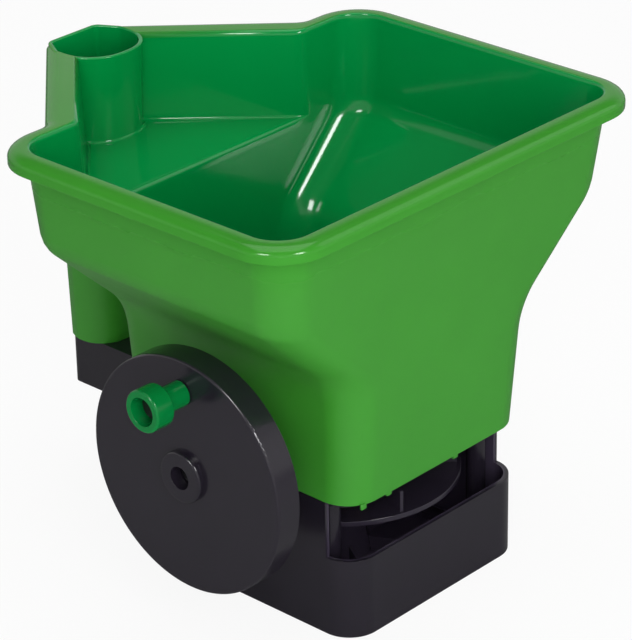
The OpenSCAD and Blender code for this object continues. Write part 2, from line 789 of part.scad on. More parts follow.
// Gears: a crown gear on the crank shaft drives a pinion on the disc shaft
pinion_teeth = 8;
crown_teeth = 32;
gear_ratio = crown_teeth / pinion_teeth;
pinion_pitch_r = gear_module * pinion_teeth / 2;
pinion_root_r = pinion_pitch_r - 1.1 * gear_module;
pinion_tip_r = pinion_pitch_r + 0.85 * gear_module;
pinion_height = 8;
tooth_root_half = 0.7 * gear_module;
tooth_tip_half = 0.32 * gear_module;
crown_pitch_r = gear_module * crown_teeth / 2;
pinion_low = crank_z - crown_pitch_r - pinion_height / 2;
crown_root_r = crown_pitch_r - 1.3 * gear_module;
crown_tip_r = crown_pitch_r + 1.3 * gear_module;
crown_tooth_tip = -pinion_root_r - 0.4 * gear_module;
crown_face = -pinion_tip_r - 0.4 * gear_module;
crown_plate = 4.6;
crown_back = crown_face - crown_plate;
crown_hub = 8;
crown_hub_r = 8;
crown_tooth_root_half = 0.62 * gear_module;
crown_tooth_tip_half = 0.34 * gear_module;
module crown_gear() {
    color(brass) translate([crown_back, axis_y, crank_z]) rotate([0, 90, 0]) difference() {
        union() {
            cylinder(r = crown_tip_r, h = crown_plate);
            translate([0, 0, -crown_hub]) cylinder(r = crown_hub_r, h = crown_hub + 1);
            for (i = [0 : crown_teeth - 1]) rotate((i + 0.5) * 360 / crown_teeth) crown_tooth();
        }
        translate([0, 0, -crown_hub - over]) cylinder(r = crank_r + seat_clear, h = crown_hub + crown_plate + 2 * over);
    }
}

// One tooth of the crown gear, a tapered bar that runs outwards along the face
module crown_tooth() {
    rise = crown_tooth_tip - crown_face;
    translate([crown_root_r, 0, crown_plate]) rotate([90, 0, 90]) linear_extrude(crown_tip_r - crown_root_r - 0.1)
        polygon([[-crown_tooth_root_half, -0.6], [crown_tooth_root_half, -0.6],
            [crown_tooth_root_half, 0], [crown_tooth_tip_half, rise],
            [-crown_tooth_tip_half, rise], [-crown_tooth_root_half, 0]]);
}

module gear_clip() {
    clip_r = crank_r + 2;
    color(steel) translate([-7.2, axis_y, crank_z]) rotate([0, 90, 0]) difference() {
        cylinder(r = clip_r, h = 0.8);
        translate([0, 0, -over]) cylinder(r = crank_r + seat_clear, h = 0.8 + 2 * over);
        translate([0, -1.5, -over]) cube([clip_r + 1, 3, 0.8 + 2 * over]);
    }
}

// Plain bearing sleeve with a flange at its outer end
module sleeve(bore_r, out_r, length, flange_r, flange) {
    difference() {
        union() {
            cylinder(r = out_r, h = length);
            translate([0, 0, length]) cylinder(r = flange_r, h = flange);
        }
        translate([0, 0, -over]) cylinder(r = bore_r, h = length + flange + 2 * over);
    }
}

crank_flange = 1.4;
crank_flange_r = 8.5;
module outer_crank_bush() {
    length = outer_stand_x + outer_stand_thick - nose_end;
    color(brass) translate([nose_end + length, axis_y, crank_z]) rotate([0, -90, 0])
        sleeve(crank_r + run_clear, crank_bush_r, length, crank_flange_r, crank_flange);
}

module inner_crank_bush() {
    color(brass) translate([inner_stand_x, axis_y, crank_z]) rotate([0, 90, 0])
        sleeve(crank_r + run_clear, crank_bush_r, inner_stand_thick, crank_flange_r, 1.2);
}

// Throwing disc with straight vanes
disc_thick = 2.5;
vane_count = 6;
vane_thick = 1.8;
vane_in = 21;
vane_turn = 13;
disc_r = disc_dia / 2;
shaft_r = disc_shaft_dia / 2;
module impeller() {
    color(black) translate([0, axis_y, 0]) difference() {
        union() {
            translate([0, 0, disc_top - disc_thick]) cylinder(r = disc_r, h = disc_thick);
            translate([0, 0, hub_under]) cylinder(r = hub_r, h = pinion_low - hub_under - 0.1);
            for (i = [0 : vane_count - 1]) rotate(vane_turn + i * 360 / vane_count)
                translate([vane_in, -vane_thick / 2, disc_top - 1])
                    cube([disc_r - vane_in - 2, vane_thick, vane_height + 1]);
        }
        translate([0, 0, hub_under - over]) cylinder(r = shaft_r + seat_clear, h = vane_height + disc_top);
    }
}

agitator_low = upper_boss_top + slide_gap;
agitator_hub = 6;
shaft_low = lower_bush_low + 1;
shaft_top = agitator_low + agitator_hub - 0.5;
agitator_screw_r = 1.4;
module impeller_shaft() {
    color(steel) translate([0, axis_y, 0]) difference() {
        translate([0, 0, shaft_low]) cylinder(r = shaft_r, h = shaft_top - shaft_low);
        translate([0, 0, shaft_top - 11]) cylinder(r = agitator_screw_r + seat_clear, h = 11 + over);
    }
}

module impeller_pinion() {
    color(brass) translate([0, axis_y, pinion_low]) difference() {
        linear_extrude(pinion_height) union() {
            circle(r = pinion_root_r);
            for (i = [0 : pinion_teeth - 1]) rotate(i * 360 / pinion_teeth)
                polygon([[pinion_root_r - 0.6, -tooth_root_half], [pinion_tip_r, -tooth_tip_half],
                    [pinion_tip_r, tooth_tip_half], [pinion_root_r - 0.6, tooth_root_half]]);
        }
        translate([0, 0, -over]) cylinder(r = shaft_r + seat_clear, h = pinion_height + 2 * over);
    }
}

module lower_shaft_bush() {
    length = hub_under - lower_flange - 0.3 - lower_bush_low;
    color(brass) translate([0, axis_y, lower_bush_low])
        sleeve(shaft_r + run_clear, lower_bush_r, length, lower_boss_r, lower_flange);
}

module deck_shaft_bush() {
    color(brass) translate([0, axis_y, deck_under])
        sleeve(shaft_r + run_clear, deck_bush_r, deck_thick, deck_bush_r + 1.4, 1);
}

module upper_shaft_bush() {
    color(brass) translate([0, axis_y, gate_z])
        sleeve(shaft_r + run_clear, upper_bush_r, upper_boss_top - gate_z - 1.2, upper_bush_r, 1.2);
}

// Agitator: two swept fingers that stir the feed over the outlet
agitator_reach = 34;
agitator_hub_r = 7;
finger_width = 6;
finger_height = 3.6;
module agitator() {
    color(grey) translate([0, axis_y, agitator_low]) difference() {
        union() {
            cylinder(r = agitator_hub_r, h = agitator_hub);
            for (a = [45, 225]) rotate(a) linear_extrude(finger_height) finger();
        }
        translate([0, 0, -over]) cylinder(r = shaft_r + seat_clear, h = agitator_hub + 2 * over);
    }
}

module finger() {
    difference() {
        translate([0, -finger_width / 2]) square([agitator_reach - finger_width / 2, finger_width]);
        circle(r = shaft_r + 1);
    }
    translate([agitator_reach - finger_width / 2, 0]) circle(r = finger_width / 2);
}

module agitator_screw() {
    color(steel) translate([0, axis_y, 0]) {
        translate([0, 0, agitator_low + agitator_hub]) cylinder(r = 4.4, h = 2);
        translate([0, 0, shaft_top - 9]) cylinder(r = agitator_screw_r, h = agitator_low + agitator_hub + over - shaft_top + 9);
    }
}

// Screws: a flat head and a plain shank
module screw(head_radius, head, shank_radius, shank) {
    cylinder(r = head_radius, h = head);
    translate([0, 0, head - 0.1]) cylinder(r = shank_radius, h = shank + 0.1);
}

module base_screws() {
    head = 2.4;
    short = 7;
    low = head_recess - head;
    color(steel) for (p = screw_places)
        translate([p[0], p[1], low]) screw(head_r, head, screw_r, base_height + boss_height - short - head_recess);
}

module feed_plate_screws() {
    head = 1.8;
    color(steel) for (p = feed_posts)
        translate([p[0], p[1], feed_plate_z + plate_thick + head]) mirror([0, 0, 1])
            screw(feed_head_r, head, feed_screw_r, plate_thick + feed_screw_grip);
}

module grip_screw() {
    head = 2.6;
    low = arm_under + grip_boss_rise - head;
    color(steel) translate([0, column_y, low])
        screw(2 * grip_screw_r, head, grip_screw_r, base_height + grip_screw_grip - low - head);
}

hopper();
grip_column();
base_tray();
chassis();
feed_plate();
feed_chute();
flow_gate();
crank_wheel();
crank_shaft();
crank_knob();
knob_pin();
wheel_screw();
wheel_washer();
crown_gear();
gear_clip();
outer_crank_bush();
inner_crank_bush();
impeller();
impeller_shaft();
impeller_pinion();
lower_shaft_bush();
deck_shaft_bush();
upper_shaft_bush();
agitator();
agitator_screw();
base_screws();
feed_plate_screws();
grip_screw();
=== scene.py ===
"""Looks for a hand spreader: a moulded hopper, softened plastic pieces and their finishes."""

import json
import math

import bmesh
import bpy
from mathutils import Matrix, Vector


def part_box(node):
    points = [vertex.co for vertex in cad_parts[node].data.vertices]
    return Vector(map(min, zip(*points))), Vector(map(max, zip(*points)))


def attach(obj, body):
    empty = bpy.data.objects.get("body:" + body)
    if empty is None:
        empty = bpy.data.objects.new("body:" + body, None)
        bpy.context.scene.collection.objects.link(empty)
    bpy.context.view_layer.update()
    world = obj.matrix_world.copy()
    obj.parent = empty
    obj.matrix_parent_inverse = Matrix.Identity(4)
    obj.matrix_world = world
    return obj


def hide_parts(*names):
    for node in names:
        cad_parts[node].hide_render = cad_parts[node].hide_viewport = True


bl_info = {
    "name": "Hand spreader looks",
    "version": (1, 0, 0),
    "blender": (4, 2, 0),
    "location": "View3D > Sidebar > Spreader",
    "description": "Builds the moulded pieces, finishes and studio of a hand spreader",
    "category": "Object",
}

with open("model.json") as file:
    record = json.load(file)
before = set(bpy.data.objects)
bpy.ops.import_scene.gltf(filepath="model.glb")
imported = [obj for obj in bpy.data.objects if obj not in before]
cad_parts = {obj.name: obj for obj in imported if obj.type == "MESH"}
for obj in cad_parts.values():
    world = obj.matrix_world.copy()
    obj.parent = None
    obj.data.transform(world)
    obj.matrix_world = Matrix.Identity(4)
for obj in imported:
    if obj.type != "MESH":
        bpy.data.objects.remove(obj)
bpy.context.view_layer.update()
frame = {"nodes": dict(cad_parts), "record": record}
NODES = frame["nodes"]
BODY_OF = {node: body for body, names in frame["record"]["behaviour"]["bodies"].items() for node in names}
SLOT_OF = {p["node"]: p["material_slot"] for p in frame["record"]["subparts"]}
MM = 0.001


class SpreaderSizes(bpy.types.PropertyGroup):
    """Sizes of the moulded hopper and of the softened edges."""

    rim_roll: bpy.props.FloatProperty(
        name="Rim roll", description="Radius of the rounded outer edge of the rim",
        default=4.0 * MM, min=1.0 * MM, max=6.0 * MM, subtype="DISTANCE", unit="LENGTH")
    wall: bpy.props.FloatProperty(
        name="Hopper wall", description="Thickness of the hopper's wall",
        default=2.5 * MM, min=1.5 * MM, max=3.5 * MM, subtype="DISTANCE", unit="LENGTH")
    crease: bpy.props.FloatProperty(
        name="Crease radius", description="Rounding of the ridge in front of the hopper's shelf",
        default=2.6 * MM, min=0.5 * MM, max=3.0 * MM, subtype="DISTANCE", unit="LENGTH")
    edge: bpy.props.FloatProperty(
        name="Edge radius", description="Rounding of the edges of the other mouldings",
        default=0.6 * MM, min=0.1 * MM, max=1.2 * MM, subtype="DISTANCE", unit="LENGTH")
    corner_steps: bpy.props.IntProperty(
        name="Corner steps", description="Faces along each rounded corner of the hopper",
        default=12, min=4, max=24)


class SpreaderColours(bpy.types.PropertyGroup):
    """Colours of the finishes."""

    # The outer green holds a painted warm sheen; the inner green is the same plastic without it.
    green: bpy.props.FloatVectorProperty(
        name="Green plastic", description="Colour of the outer side of the hopper and of the grip",
        default=(0.040, 0.270, 0.022), min=0.0, max=1.0, size=3, subtype="COLOR")
    inner_green: bpy.props.FloatVectorProperty(
        name="Inner green", description="Colour of the hopper's inner side and, darkened, of the knob",
        default=(0.0005, 0.285, 0.058), min=0.0, max=1.0, size=3, subtype="COLOR")
    black: bpy.props.FloatVectorProperty(
        name="Black plastic", description="Colour of the base, wheel and disc",
        default=(0.0128, 0.0102, 0.0168), min=0.0, max=1.0, size=3, subtype="COLOR")
    grey: bpy.props.FloatVectorProperty(
        name="Grey plastic", description="Colour of the chute and agitator",
        default=(0.22, 0.22, 0.23), min=0.0, max=1.0, size=3, subtype="COLOR")
    brass: bpy.props.FloatVectorProperty(
        name="Bearing brass", description="Colour of the bushes and gears",
        default=(0.68, 0.50, 0.22), min=0.0, max=1.0, size=3, subtype="COLOR")
    steel: bpy.props.FloatVectorProperty(
        name="Plated steel", description="Colour of the shafts and screws",
        default=(0.58, 0.58, 0.60), min=0.0, max=1.0, size=3, subtype="COLOR")
    backdrop: bpy.props.FloatVectorProperty(
        name="Backdrop", description="Colour of the floor and background",
        default=(1.0, 1.0, 1.0), min=0.0, max=1.0, size=3, subtype="COLOR")


# Shader maths


class Shade:
    """A node socket that takes part in plain arithmetic."""

    def __init__(self, tree, socket):
        self.tree = tree
        self.socket = socket

    def node(self, kind, settings=None, **inputs):
        """Adds any node: settings are set first, then its sockets get values or links."""
        node = self.tree.nodes.new(kind)
        for key, value in (settings or {}).items():
            setattr(node, key, value)
        for key, value in inputs.items():
            numbered = key.startswith("i") and key[1:].isdigit()
            socket = node.inputs[int(key[1:]) if numbered else key.replace("_", " ")]
            if isinstance(value, Shade):
                self.tree.links.new(value.socket, socket)
            else:
                socket.default_value = value
        return node

    def out(self, kind, output=0, settings=None, **inputs):
        """Adds a node and gives one of its outputs."""
        return Shade(self.tree, self.node(kind, settings, **inputs).outputs[output])

    def _math(self, operation, first, second):
        return self.out("ShaderNodeMath", 0, {"operation": operation}, i0=first, i1=second)

    def __add__(self, other):
        return self._math("ADD", self, other)

    def __radd__(self, other):
        return self._math("ADD", other, self)

    def __sub__(self, other):
        return self._math("SUBTRACT", self, other)

    def __rsub__(self, other):
        return self._math("SUBTRACT", other, self)

    def __mul__(self, other):
        return self._math("MULTIPLY", self, other)

    def __rmul__(self, other):
        return self._math("MULTIPLY", other, self)

    def clamp(self, low, high):
        """The value held between two limits and spread from 0 to 1."""
        return self.out("ShaderNodeMapRange", 0, {"clamp": True}, i0=self, i1=low, i2=high, i3=0.0, i4=1.0)


def start_material(name):
    """An empty node material: gives the material, its own coordinates and the shader node."""
    material = bpy.data.materials.new(name)
    material.use_nodes = True
    tree = material.node_tree
    shader = tree.nodes["Principled BSDF"]
    coords = tree.nodes.new("ShaderNodeTexCoord")
    return material, Shade(tree, coords.outputs["Object"]), shader


def link(value, node, socket):
    """Joins a value to one of a node's sockets."""
    value.tree.links.new(value.socket, node.inputs[socket])


def set_plain(shader, **values):
    """Gives sockets of a shader one value for the whole surface."""
    for name, value in values.items():
        shader.inputs[name.replace("_", " ")].default_value = value


def noise(place, scale, detail=2.0, rough=0.5):
    """Soft noise over the object's own coordinates."""
    return place.out("ShaderNodeTexNoise", 0, Vector=place, Scale=scale, Detail=detail, Roughness=rough)


def marked(place, name):
    """The value that a mesh carries on its points under a name."""
    return place.out("ShaderNodeAttribute", "Fac", {"attribute_name": name})


def mixed(factor, first, second):
    """Two colours mixed by a factor."""
    first, second = (c if isinstance(c, Shade) else (*c, 1.0) for c in (first, second))
    return factor.out("ShaderNodeMix", 2, {"data_type": "RGBA"}, i0=factor, i6=first, i7=second)


def toned(shader, cloud, first, second, smooth, spread):
    """A colour that goes from one tone to another with a cloud, and a roughness that grows with it."""
    link(mixed(cloud, first, second), shader, "Base Color")
    link(smooth + cloud * spread, shader, "Roughness")


def bumped(shader, height, strength, distance):
    """A fine relief that only turns the shading normal."""
    bump = height.out("ShaderNodeBump", 0, Strength=strength, Distance=distance, Height=height)
    link(bump, shader, "Normal")


def scaled(colour, factor):
    """A colour made lighter or darker."""
    return tuple(min(1.0, c * factor) for c in colour)


# Heights in metres between which the outer walls go from satin to glossy
SATIN_UP_TO, GLOSS_FROM = 0.185, 0.203


def green_plastic(name, outer, inner, dulled=0.3):
    """Moulded plastic with faint flow marks, in an outer tone with a painted warm sheen and a deeper
    inner tone; glossy on the inner side and the rim, and dulled to a satin on the outer walls."""
    material, place, shader = start_material(name)
    flow = noise(place, scale=14.0, detail=3.0, rough=0.55).clamp(0.3, 0.7)
    skins = [mixed(flow, scaled(c, 0.96), scaled(c, 1.04)) for c in (outer, inner)]
    # The inner side takes the deeper tone, the outer side the one with painted warm sheen.
    inside = marked(place, "inside")
    link(mixed(inside, *skins), shader, "Base Color")
    haze = noise(place, scale=45.0, detail=4.0, rough=0.6).clamp(0.35, 0.75)
    height = place.out("ShaderNodeSeparateXYZ", "Z", Vector=place)
    satin = (1.0 - height.clamp(SATIN_UP_TO, GLOSS_FROM)) * (1.0 - inside)
    link(0.11 + haze * 0.05 + satin * dulled, shader, "Roughness")
    bumped(shader, noise(place, scale=130.0), strength=0.03, distance=0.0003)
    link(inside * 0.3, shader, "Coat Weight")
    set_plain(shader, Coat_Roughness=0.06, IOR=1.49, Specular_IOR_Level=0.36)
    return material


def black_plastic(colour):
    """Satin black moulded plastic with a fine grain, faint scuffs, and painted fill light where marked."""
    material, place, shader = start_material("black_plastic")
    # The third tone, four times as pale, is painted fill light that lifts the shade where marked.
    dark, light, dusty = (scaled(colour, factor) for factor in (0.85, 1.2, 4.0))
    clean = mixed(noise(place, scale=60.0, detail=4.0, rough=0.6), dark, light)
    link(mixed(marked(place, "dust"), clean, dusty), shader, "Base Color")
    scuffs = noise(place, scale=16.0, detail=3.0)
    link(0.17 + scuffs * 0.08, shader, "Roughness")
    bumped(shader, noise(place, scale=2200.0, rough=0.6), strength=0.04, distance=0.0002)
    set_plain(shader, Specular_IOR_Level=0.66)
    return material


def grey_plastic(colour):
    """Plain moulded grey plastic."""
    material, place, shader = start_material("grey_plastic")
    dark, light = (scaled(colour, factor) for factor in (0.9, 1.1))
    link(mixed(noise(place, scale=40.0, detail=3.0), dark, light), shader, "Base Color")
    link(0.42 + noise(place, scale=90.0) * 0.15, shader, "Roughness")
    bumped(shader, noise(place, scale=1500.0), strength=0.08, distance=0.0002)
    return material


def bearing_brass(colour):
    """Turned brass with a little tarnish."""
    material, place, shader = start_material("bearing_brass")
    tarnish = noise(place, scale=120.0, detail=4.0, rough=0.6).clamp(0.4, 0.8)
    toned(shader, tarnish, colour, scaled(colour, 0.6), smooth=0.24, spread=0.25)
    bumped(shader, noise(place, scale=1800.0), strength=0.06, distance=0.0001)
    set_plain(shader, Metallic=1.0)
    return material


def plated_steel(colour):
    """Bright plated steel with a faint brushed haze."""
    material, place, shader = start_material("plated_steel")
    haze = noise(place, scale=150.0, detail=4.0, rough=0.6).clamp(0.3, 0.8)
    toned(shader, haze, colour, scaled(colour, 0.8), smooth=0.22, spread=0.2)
    bumped(shader, noise(place, scale=2600.0), strength=0.06, distance=0.0001)
    set_plain(shader, Metallic=1.0)
    return material


def dull_steel(colour):
    """Plated steel darkened to painted shade, for the fasteners that sit deep in the wheel and the knob."""
    material, place, shader = start_material("dull_steel")
    haze = noise(place, scale=150.0, detail=4.0, rough=0.6)
    # Both tones are the steel darkened far down, which paints the shade of the recess.
    toned(shader, haze, scaled(colour, 0.08), scaled(colour, 0.14), smooth=0.4, spread=0.15)
    set_plain(shader, Metallic=1.0)
    return material


# The knob's share of the inner green, and the little by which it is dulled
KNOB_TONE, KNOB_DULLED = 0.62, 0.05
# These fasteners get the steel darkened to painted shade, for the recesses they sit in.
SHADE_PAINTED_FASTENERS = ("wheel_screw", "wheel_washer", "knob_pin")
FINISHES = {}


def finish_of(node_name):
    """The finish of a CAD node, which has the name of its slot unless it is of steel."""
    slot_name = SLOT_OF[node_name]
    if slot_name != "bright_steel":
        return FINISHES[slot_name]
    return FINISHES["dull_steel" if node_name in SHADE_PAINTED_FASTENERS else "plated_steel"]


# Mesh helpers

# Distances in metres within which points are merged, and the angle in degrees up to which faces join
CAD_MERGE, RING_MERGE, RING_SLIVER, FLAT_ANGLE = 2e-6, 1e-6, 1e-7, 0.4
# Faces along a softened edge, and the angle in degrees from which an edge is softened
SOFT_STEPS, SOFT_ANGLE = 2, 38.0
EVEN_WEIGHT = 60


def put_in_scene(name, data):
    """An object in the scene that carries a mesh, a lamp or a camera."""
    thing = bpy.data.objects.new(name, data)
    bpy.context.scene.collection.objects.link(thing)
    return thing


def new_piece(name, mesh, *node_names):
    """Puts a finished mesh into the scene in place of CAD nodes, with the body and slot of the first."""
    body, slot_name = BODY_OF[node_names[0]], SLOT_OF[node_names[0]]
    piece = put_in_scene(name, mesh)
    if not mesh.materials:
        mesh.materials.append(finish_of(node_names[0]))
    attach(piece, body)
    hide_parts(*node_names)


def baked(work):
    """The evaluated mesh of an object, as plain geometry; the object and its own mesh are removed."""
    depsgraph = bpy.context.evaluated_depsgraph_get()
    depsgraph.update()
    mesh = bpy.data.meshes.new_from_object(work.evaluated_get(depsgraph), depsgraph=depsgraph)
    old = work.data
    bpy.data.objects.remove(work)
    bpy.data.meshes.remove(old)
    return mesh


def add_bevel(work, width, steps, angle):
    """Rounds the edges that are sharper than an angle."""
    bevel = work.modifiers.new("soft_edges", "BEVEL")
    bevel.width = width
    bevel.segments = steps
    bevel.limit_method = "ANGLE"
    bevel.angle_limit = math.radians(angle)
    bevel.harden_normals = False


def add_even_normals(work):
    """Keeps large flat faces flat in smooth shading."""
    even = work.modifiers.new("even_normals", "WEIGHTED_NORMAL")
    even.weight = EVEN_WEIGHT
    even.keep_sharp = True


def softened(node_name, width):
    """A copy of a CAD node's mesh with its sharp edges rounded."""
    mesh = NODES[node_name].data.copy()
    merged = bmesh.new()
    merged.from_mesh(mesh)
    bmesh.ops.remove_doubles(merged, verts=merged.verts, dist=CAD_MERGE)
    bmesh.ops.dissolve_limit(merged, angle_limit=math.radians(FLAT_ANGLE), verts=merged.verts,
                             edges=merged.edges, delimit={"NORMAL"})
    for face in merged.faces:
        face.smooth = True
    merged.to_mesh(mesh)
    merged.free()
    mesh.materials.clear()
    work = put_in_scene("soften_" + node_name, mesh)
    add_bevel(work, width, SOFT_STEPS, SOFT_ANGLE)
    add_even_normals(work)
    return baked(work)


# The hopper, from the same outlines as the solid, in millimetres

# Edges of the rim in plan, and its section
RIM_HALF, FRONT_Y, REAR_Y, GRIP_Y = 118.0, -124.0, 51.0, 121.6
RIM_Z, RIM_LIP, RIM_SKIRT, RIM_CORNER = 213.5, 7.5, 7.2, 25.0
# The part of the rim that reaches back to the grip
SHELF_HALF, FLAT_HALF, FLAT_CORNER, INNER_BEND = 81.9, 15.3, 3.0, 12.0
# Heights of the bends, and the walls at the throat and the neck
SHELF_Z, SHOULDER_Z, THROAT_Z, BASE_Z = 171.0, 167.5, 126.0, 66.0
THROAT_HALF, NECK_HALF, NECK_FRONT, NECK_REAR = 61.0, 58.3, -104.0, 34.5
WALL_CORNER, NECK_CORNER, REAR_BEND, REAR_LIP = 18.0, 16.0, 7.5, 12.5
DRAFT, REAR_DRAFT = math.tan(math.radians(6.0)), math.tan(math.radians(2.2))
SHOULDER_SOFT, THROAT_SOFT, BEND_STEPS = 6.0, 14.0, 9
# Points along the ridge, as shares of the way from its middle to its end, and how many lie near the end
RIDGE_SHARES, SHARP_POINTS = (1.0, 0.95, 0.91, 0.86, 0.78, 0.6, 0.25), 4
# Roundings beside the ridge, as shares of the crease's radius or of the room that the shelf leaves
CREST_ROOM, SHELF_FILLET, FILLET_ROOM = 0.42, 0.7, 0.4
# Roundings of the rim: the fillet as a share of the crease's radius, the roll's width as one of its
# height, and the radii under the rim and at its skirt
RIM_FILLET, ROLL_WIDE, UNDER_ROUND, SKIRT_EDGE = 0.6, 1.7, 1.0, 0.55
# The rim's mouth: its inset, the bend there, and its rounding on the straight and the slanted sides
MOUTH_INSET, MOUTH_BEND, MOUTH_ROUND, MOUTH_DROP = 10.0, 10.0, 1.4, 2.6
FOOT_LIP = 0.8
# Least distances from a wall's rings to the ridge, to its upper end and to the rim's mouth, and from
# the ridge to the corners
RIDGE_CLEAR, TOP_CLEAR, MOUTH_CLEAR, CORNER_CLEAR = 0.5, 1.0, 2.0, 1.0
CREST_STEPS, FILLET_STEPS, EDGE_STEPS, ROLL_STEPS, MOUTH_STEPS = 7, 5, 4, 8, 6


def mix(a, b, t):
    """A value part of the way from a to b."""
    return a + (b - a) * t


def wall_inset(z):
    """How far the front and side walls stand inside the rim's edge."""
    return RIM_LIP + DRAFT * (RIM_Z - z)


def rear_inset(z):
    """How far the straight rear walls stand inside the rim's edge."""
    return RIM_LIP + REAR_DRAFT * (RIM_Z - z)


def slant_inset(z):
    """How far the slanted walls that reach back to the grip stand inside the rim's edge."""
    return REAR_LIP + REAR_DRAFT * (RIM_Z - z)


def up_to_shoulder(z):
    """Height as a share of the way from the base to the shoulder."""
    return (z - BASE_Z) / (SHOULDER_Z - BASE_Z)


def wall_front(z):
    """Y of the front wall's outer face."""
    if z > SHOULDER_Z:
        return FRONT_Y + wall_inset(z)
    return mix(NECK_FRONT, FRONT_Y + wall_inset(SHOULDER_Z), up_to_shoulder(z))


def wall_rear(z):
    """Y of the rear wall's outer face."""
    if z > SHOULDER_Z:
        return REAR_Y - rear_inset(z)
    return mix(NECK_REAR, REAR_Y - rear_inset(SHOULDER_Z), up_to_shoulder(z))


def bend(a, b, c, soft):
    """Points of a soft bend at b between the lines to a and c."""
    a, b, c = Vector(a), Vector(b), Vector(c)
    p = b + (a - b).normalized() * soft
    q = b + (c - b).normalized() * soft
    steps = [i / BEND_STEPS for i in range(BEND_STEPS + 1)]
    return [p * (1 - t) ** 2 + b * 2 * t * (1 - t) + q * t * t for t in steps]


def side_profile(thin):
    """Half width of the side walls by height, for the outside or a wall's thickness inside."""
    angle = math.atan2(RIM_HALF - wall_inset(SHOULDER_Z) - THROAT_HALF, SHOULDER_Z - THROAT_Z)
    lift = thin * math.tan(angle / 2)
    foot = (BASE_Z + FOOT_LIP, NECK_HALF - thin)
    throat = (THROAT_Z + lift, THROAT_HALF - thin)
    shoulder = (SHOULDER_Z + lift, RIM_HALF - wall_inset(SHOULDER_Z + lift) - thin)
    top = (RIM_Z, RIM_HALF - wall_inset(RIM_Z) - thin)
    bends = bend(foot, throat, shoulder, THROAT_SOFT) + bend(throat, shoulder, top, SHOULDER_SOFT)
    return [foot] + [tuple(p) for p in bends] + [top]


def half_at(profile, z):
    """Half width of a side profile at a height."""
    for (z0, x0), (z1, x1) in zip(profile, profile[1:]):
        if z <= z1:
            return mix(x0, x1, (z - z0) / (z1 - z0))
    return profile[-1][1]


def rounded(corners, steps, inset=0.0):
    """A closed outline through corners (x, y, radius), counter-clockwise, with its rounds moved in."""
    points = []
    count = len(corners)
    for i, (_, _, r) in enumerate(corners):
        before, here, after = (Vector(corners[(i + k) % count][:2]) for k in (-1, 0, 1))
        if r <= 0:
            points.append(here)
            continue
        along, onward = (here - before).normalized(), (after - here).normalized()
        turn = math.atan2(along.x * onward.y - along.y * onward.x, along.dot(onward))
        side = 1.0 if turn > 0 else -1.0
        start = here - along * r * math.tan(abs(turn) / 2)
        centre = start + Vector((-along.y, along.x)) * side * r
        arm = (start - centre) * (r - side * inset) / r
        for k in range(steps + 1):
            points.append(centre + Matrix.Rotation(turn * k / steps, 2) @ arm)
    return points


def mirrored(right):
    """Corners of the right half followed by those of the left half."""
    return right + [(-x, y, r) for x, y, r in reversed(right)]


def slanted(rear, inset):
    """X of the inner bend on a rear line and of the flat's end, for slanted sides moved in by an inset."""
    start, end = Vector((SHELF_HALF, REAR_Y)), Vector((FLAT_HALF, GRIP_Y))
    along = (end - start).normalized()
    line = start + Vector((-along.y, along.x)) * inset

    def at_y(y):
        return (line + along * ((y - line.y) / along.y)).x

    return at_y(rear), at_y(GRIP_Y - inset)


def rim_ring(main, slant, steps):
    """Outline of the rim, moved in by one inset on its straight sides and another on its slanted ones."""
    bend_x, flat_x = slanted(REAR_Y - main, slant)
    return rounded(mirrored([
        (RIM_HALF - main, FRONT_Y + main, RIM_CORNER - main),
        (RIM_HALF - main, REAR_Y - main, RIM_CORNER - main),
        (bend_x, REAR_Y - main, mix(INNER_BEND, MOUTH_BEND, min(1.0, main / MOUTH_INSET))),
        (flat_x, GRIP_Y - slant, FLAT_CORNER)]), steps)


def corner_at(z):
    """Corner radius of the wall's outer face by height."""
    return mix(NECK_CORNER, WALL_CORNER, min(1.0, up_to_shoulder(z)))


def upper_ring(z, half, thin, steps):
    """Outline of the hopper above the shelf, with the part that reaches back to the grip."""
    inset = slant_inset(z) + thin
    rear = REAR_Y - rear_inset(z) - thin
    bend_x, flat_x = slanted(rear, inset)
    r = corner_at(z) - thin
    return rounded(mirrored([
        (half, wall_front(z) + thin, r), (half, rear, r),
        (bend_x, rear, REAR_BEND + thin), (flat_x, GRIP_Y - inset, FLAT_CORNER)]), steps)


def lower_ring(z, half, thin, ridge_x, steps, inset=0.0):
    """Outline of the bin below the shelf, with points along its rear for the ridge."""
    r = corner_at(z) - thin - inset
    rear = wall_rear(z) - thin - inset
    half -= inset
    end = min(ridge_x, half - r - CORNER_CLEAR)
    ridge = [(end * share, rear, 0.0) for share in RIDGE_SHARES]
    return rounded(mirrored([(half, wall_front(z) + thin + inset, r), (half, rear, r)] + ridge), steps)


def ridge_gap(away, r):
    """How far the wall behind the ridge has bent away from it, by the distance from the ridge's end."""
    turn = math.atan2(GRIP_Y - REAR_Y, SHELF_HALF - FLAT_HALF)
    if away < r * math.sin(turn):
        return r - math.sqrt(r * r - away * away)
    return r * (1.0 - math.cos(turn)) + (away - r * math.sin(turn)) * math.tan(turn)


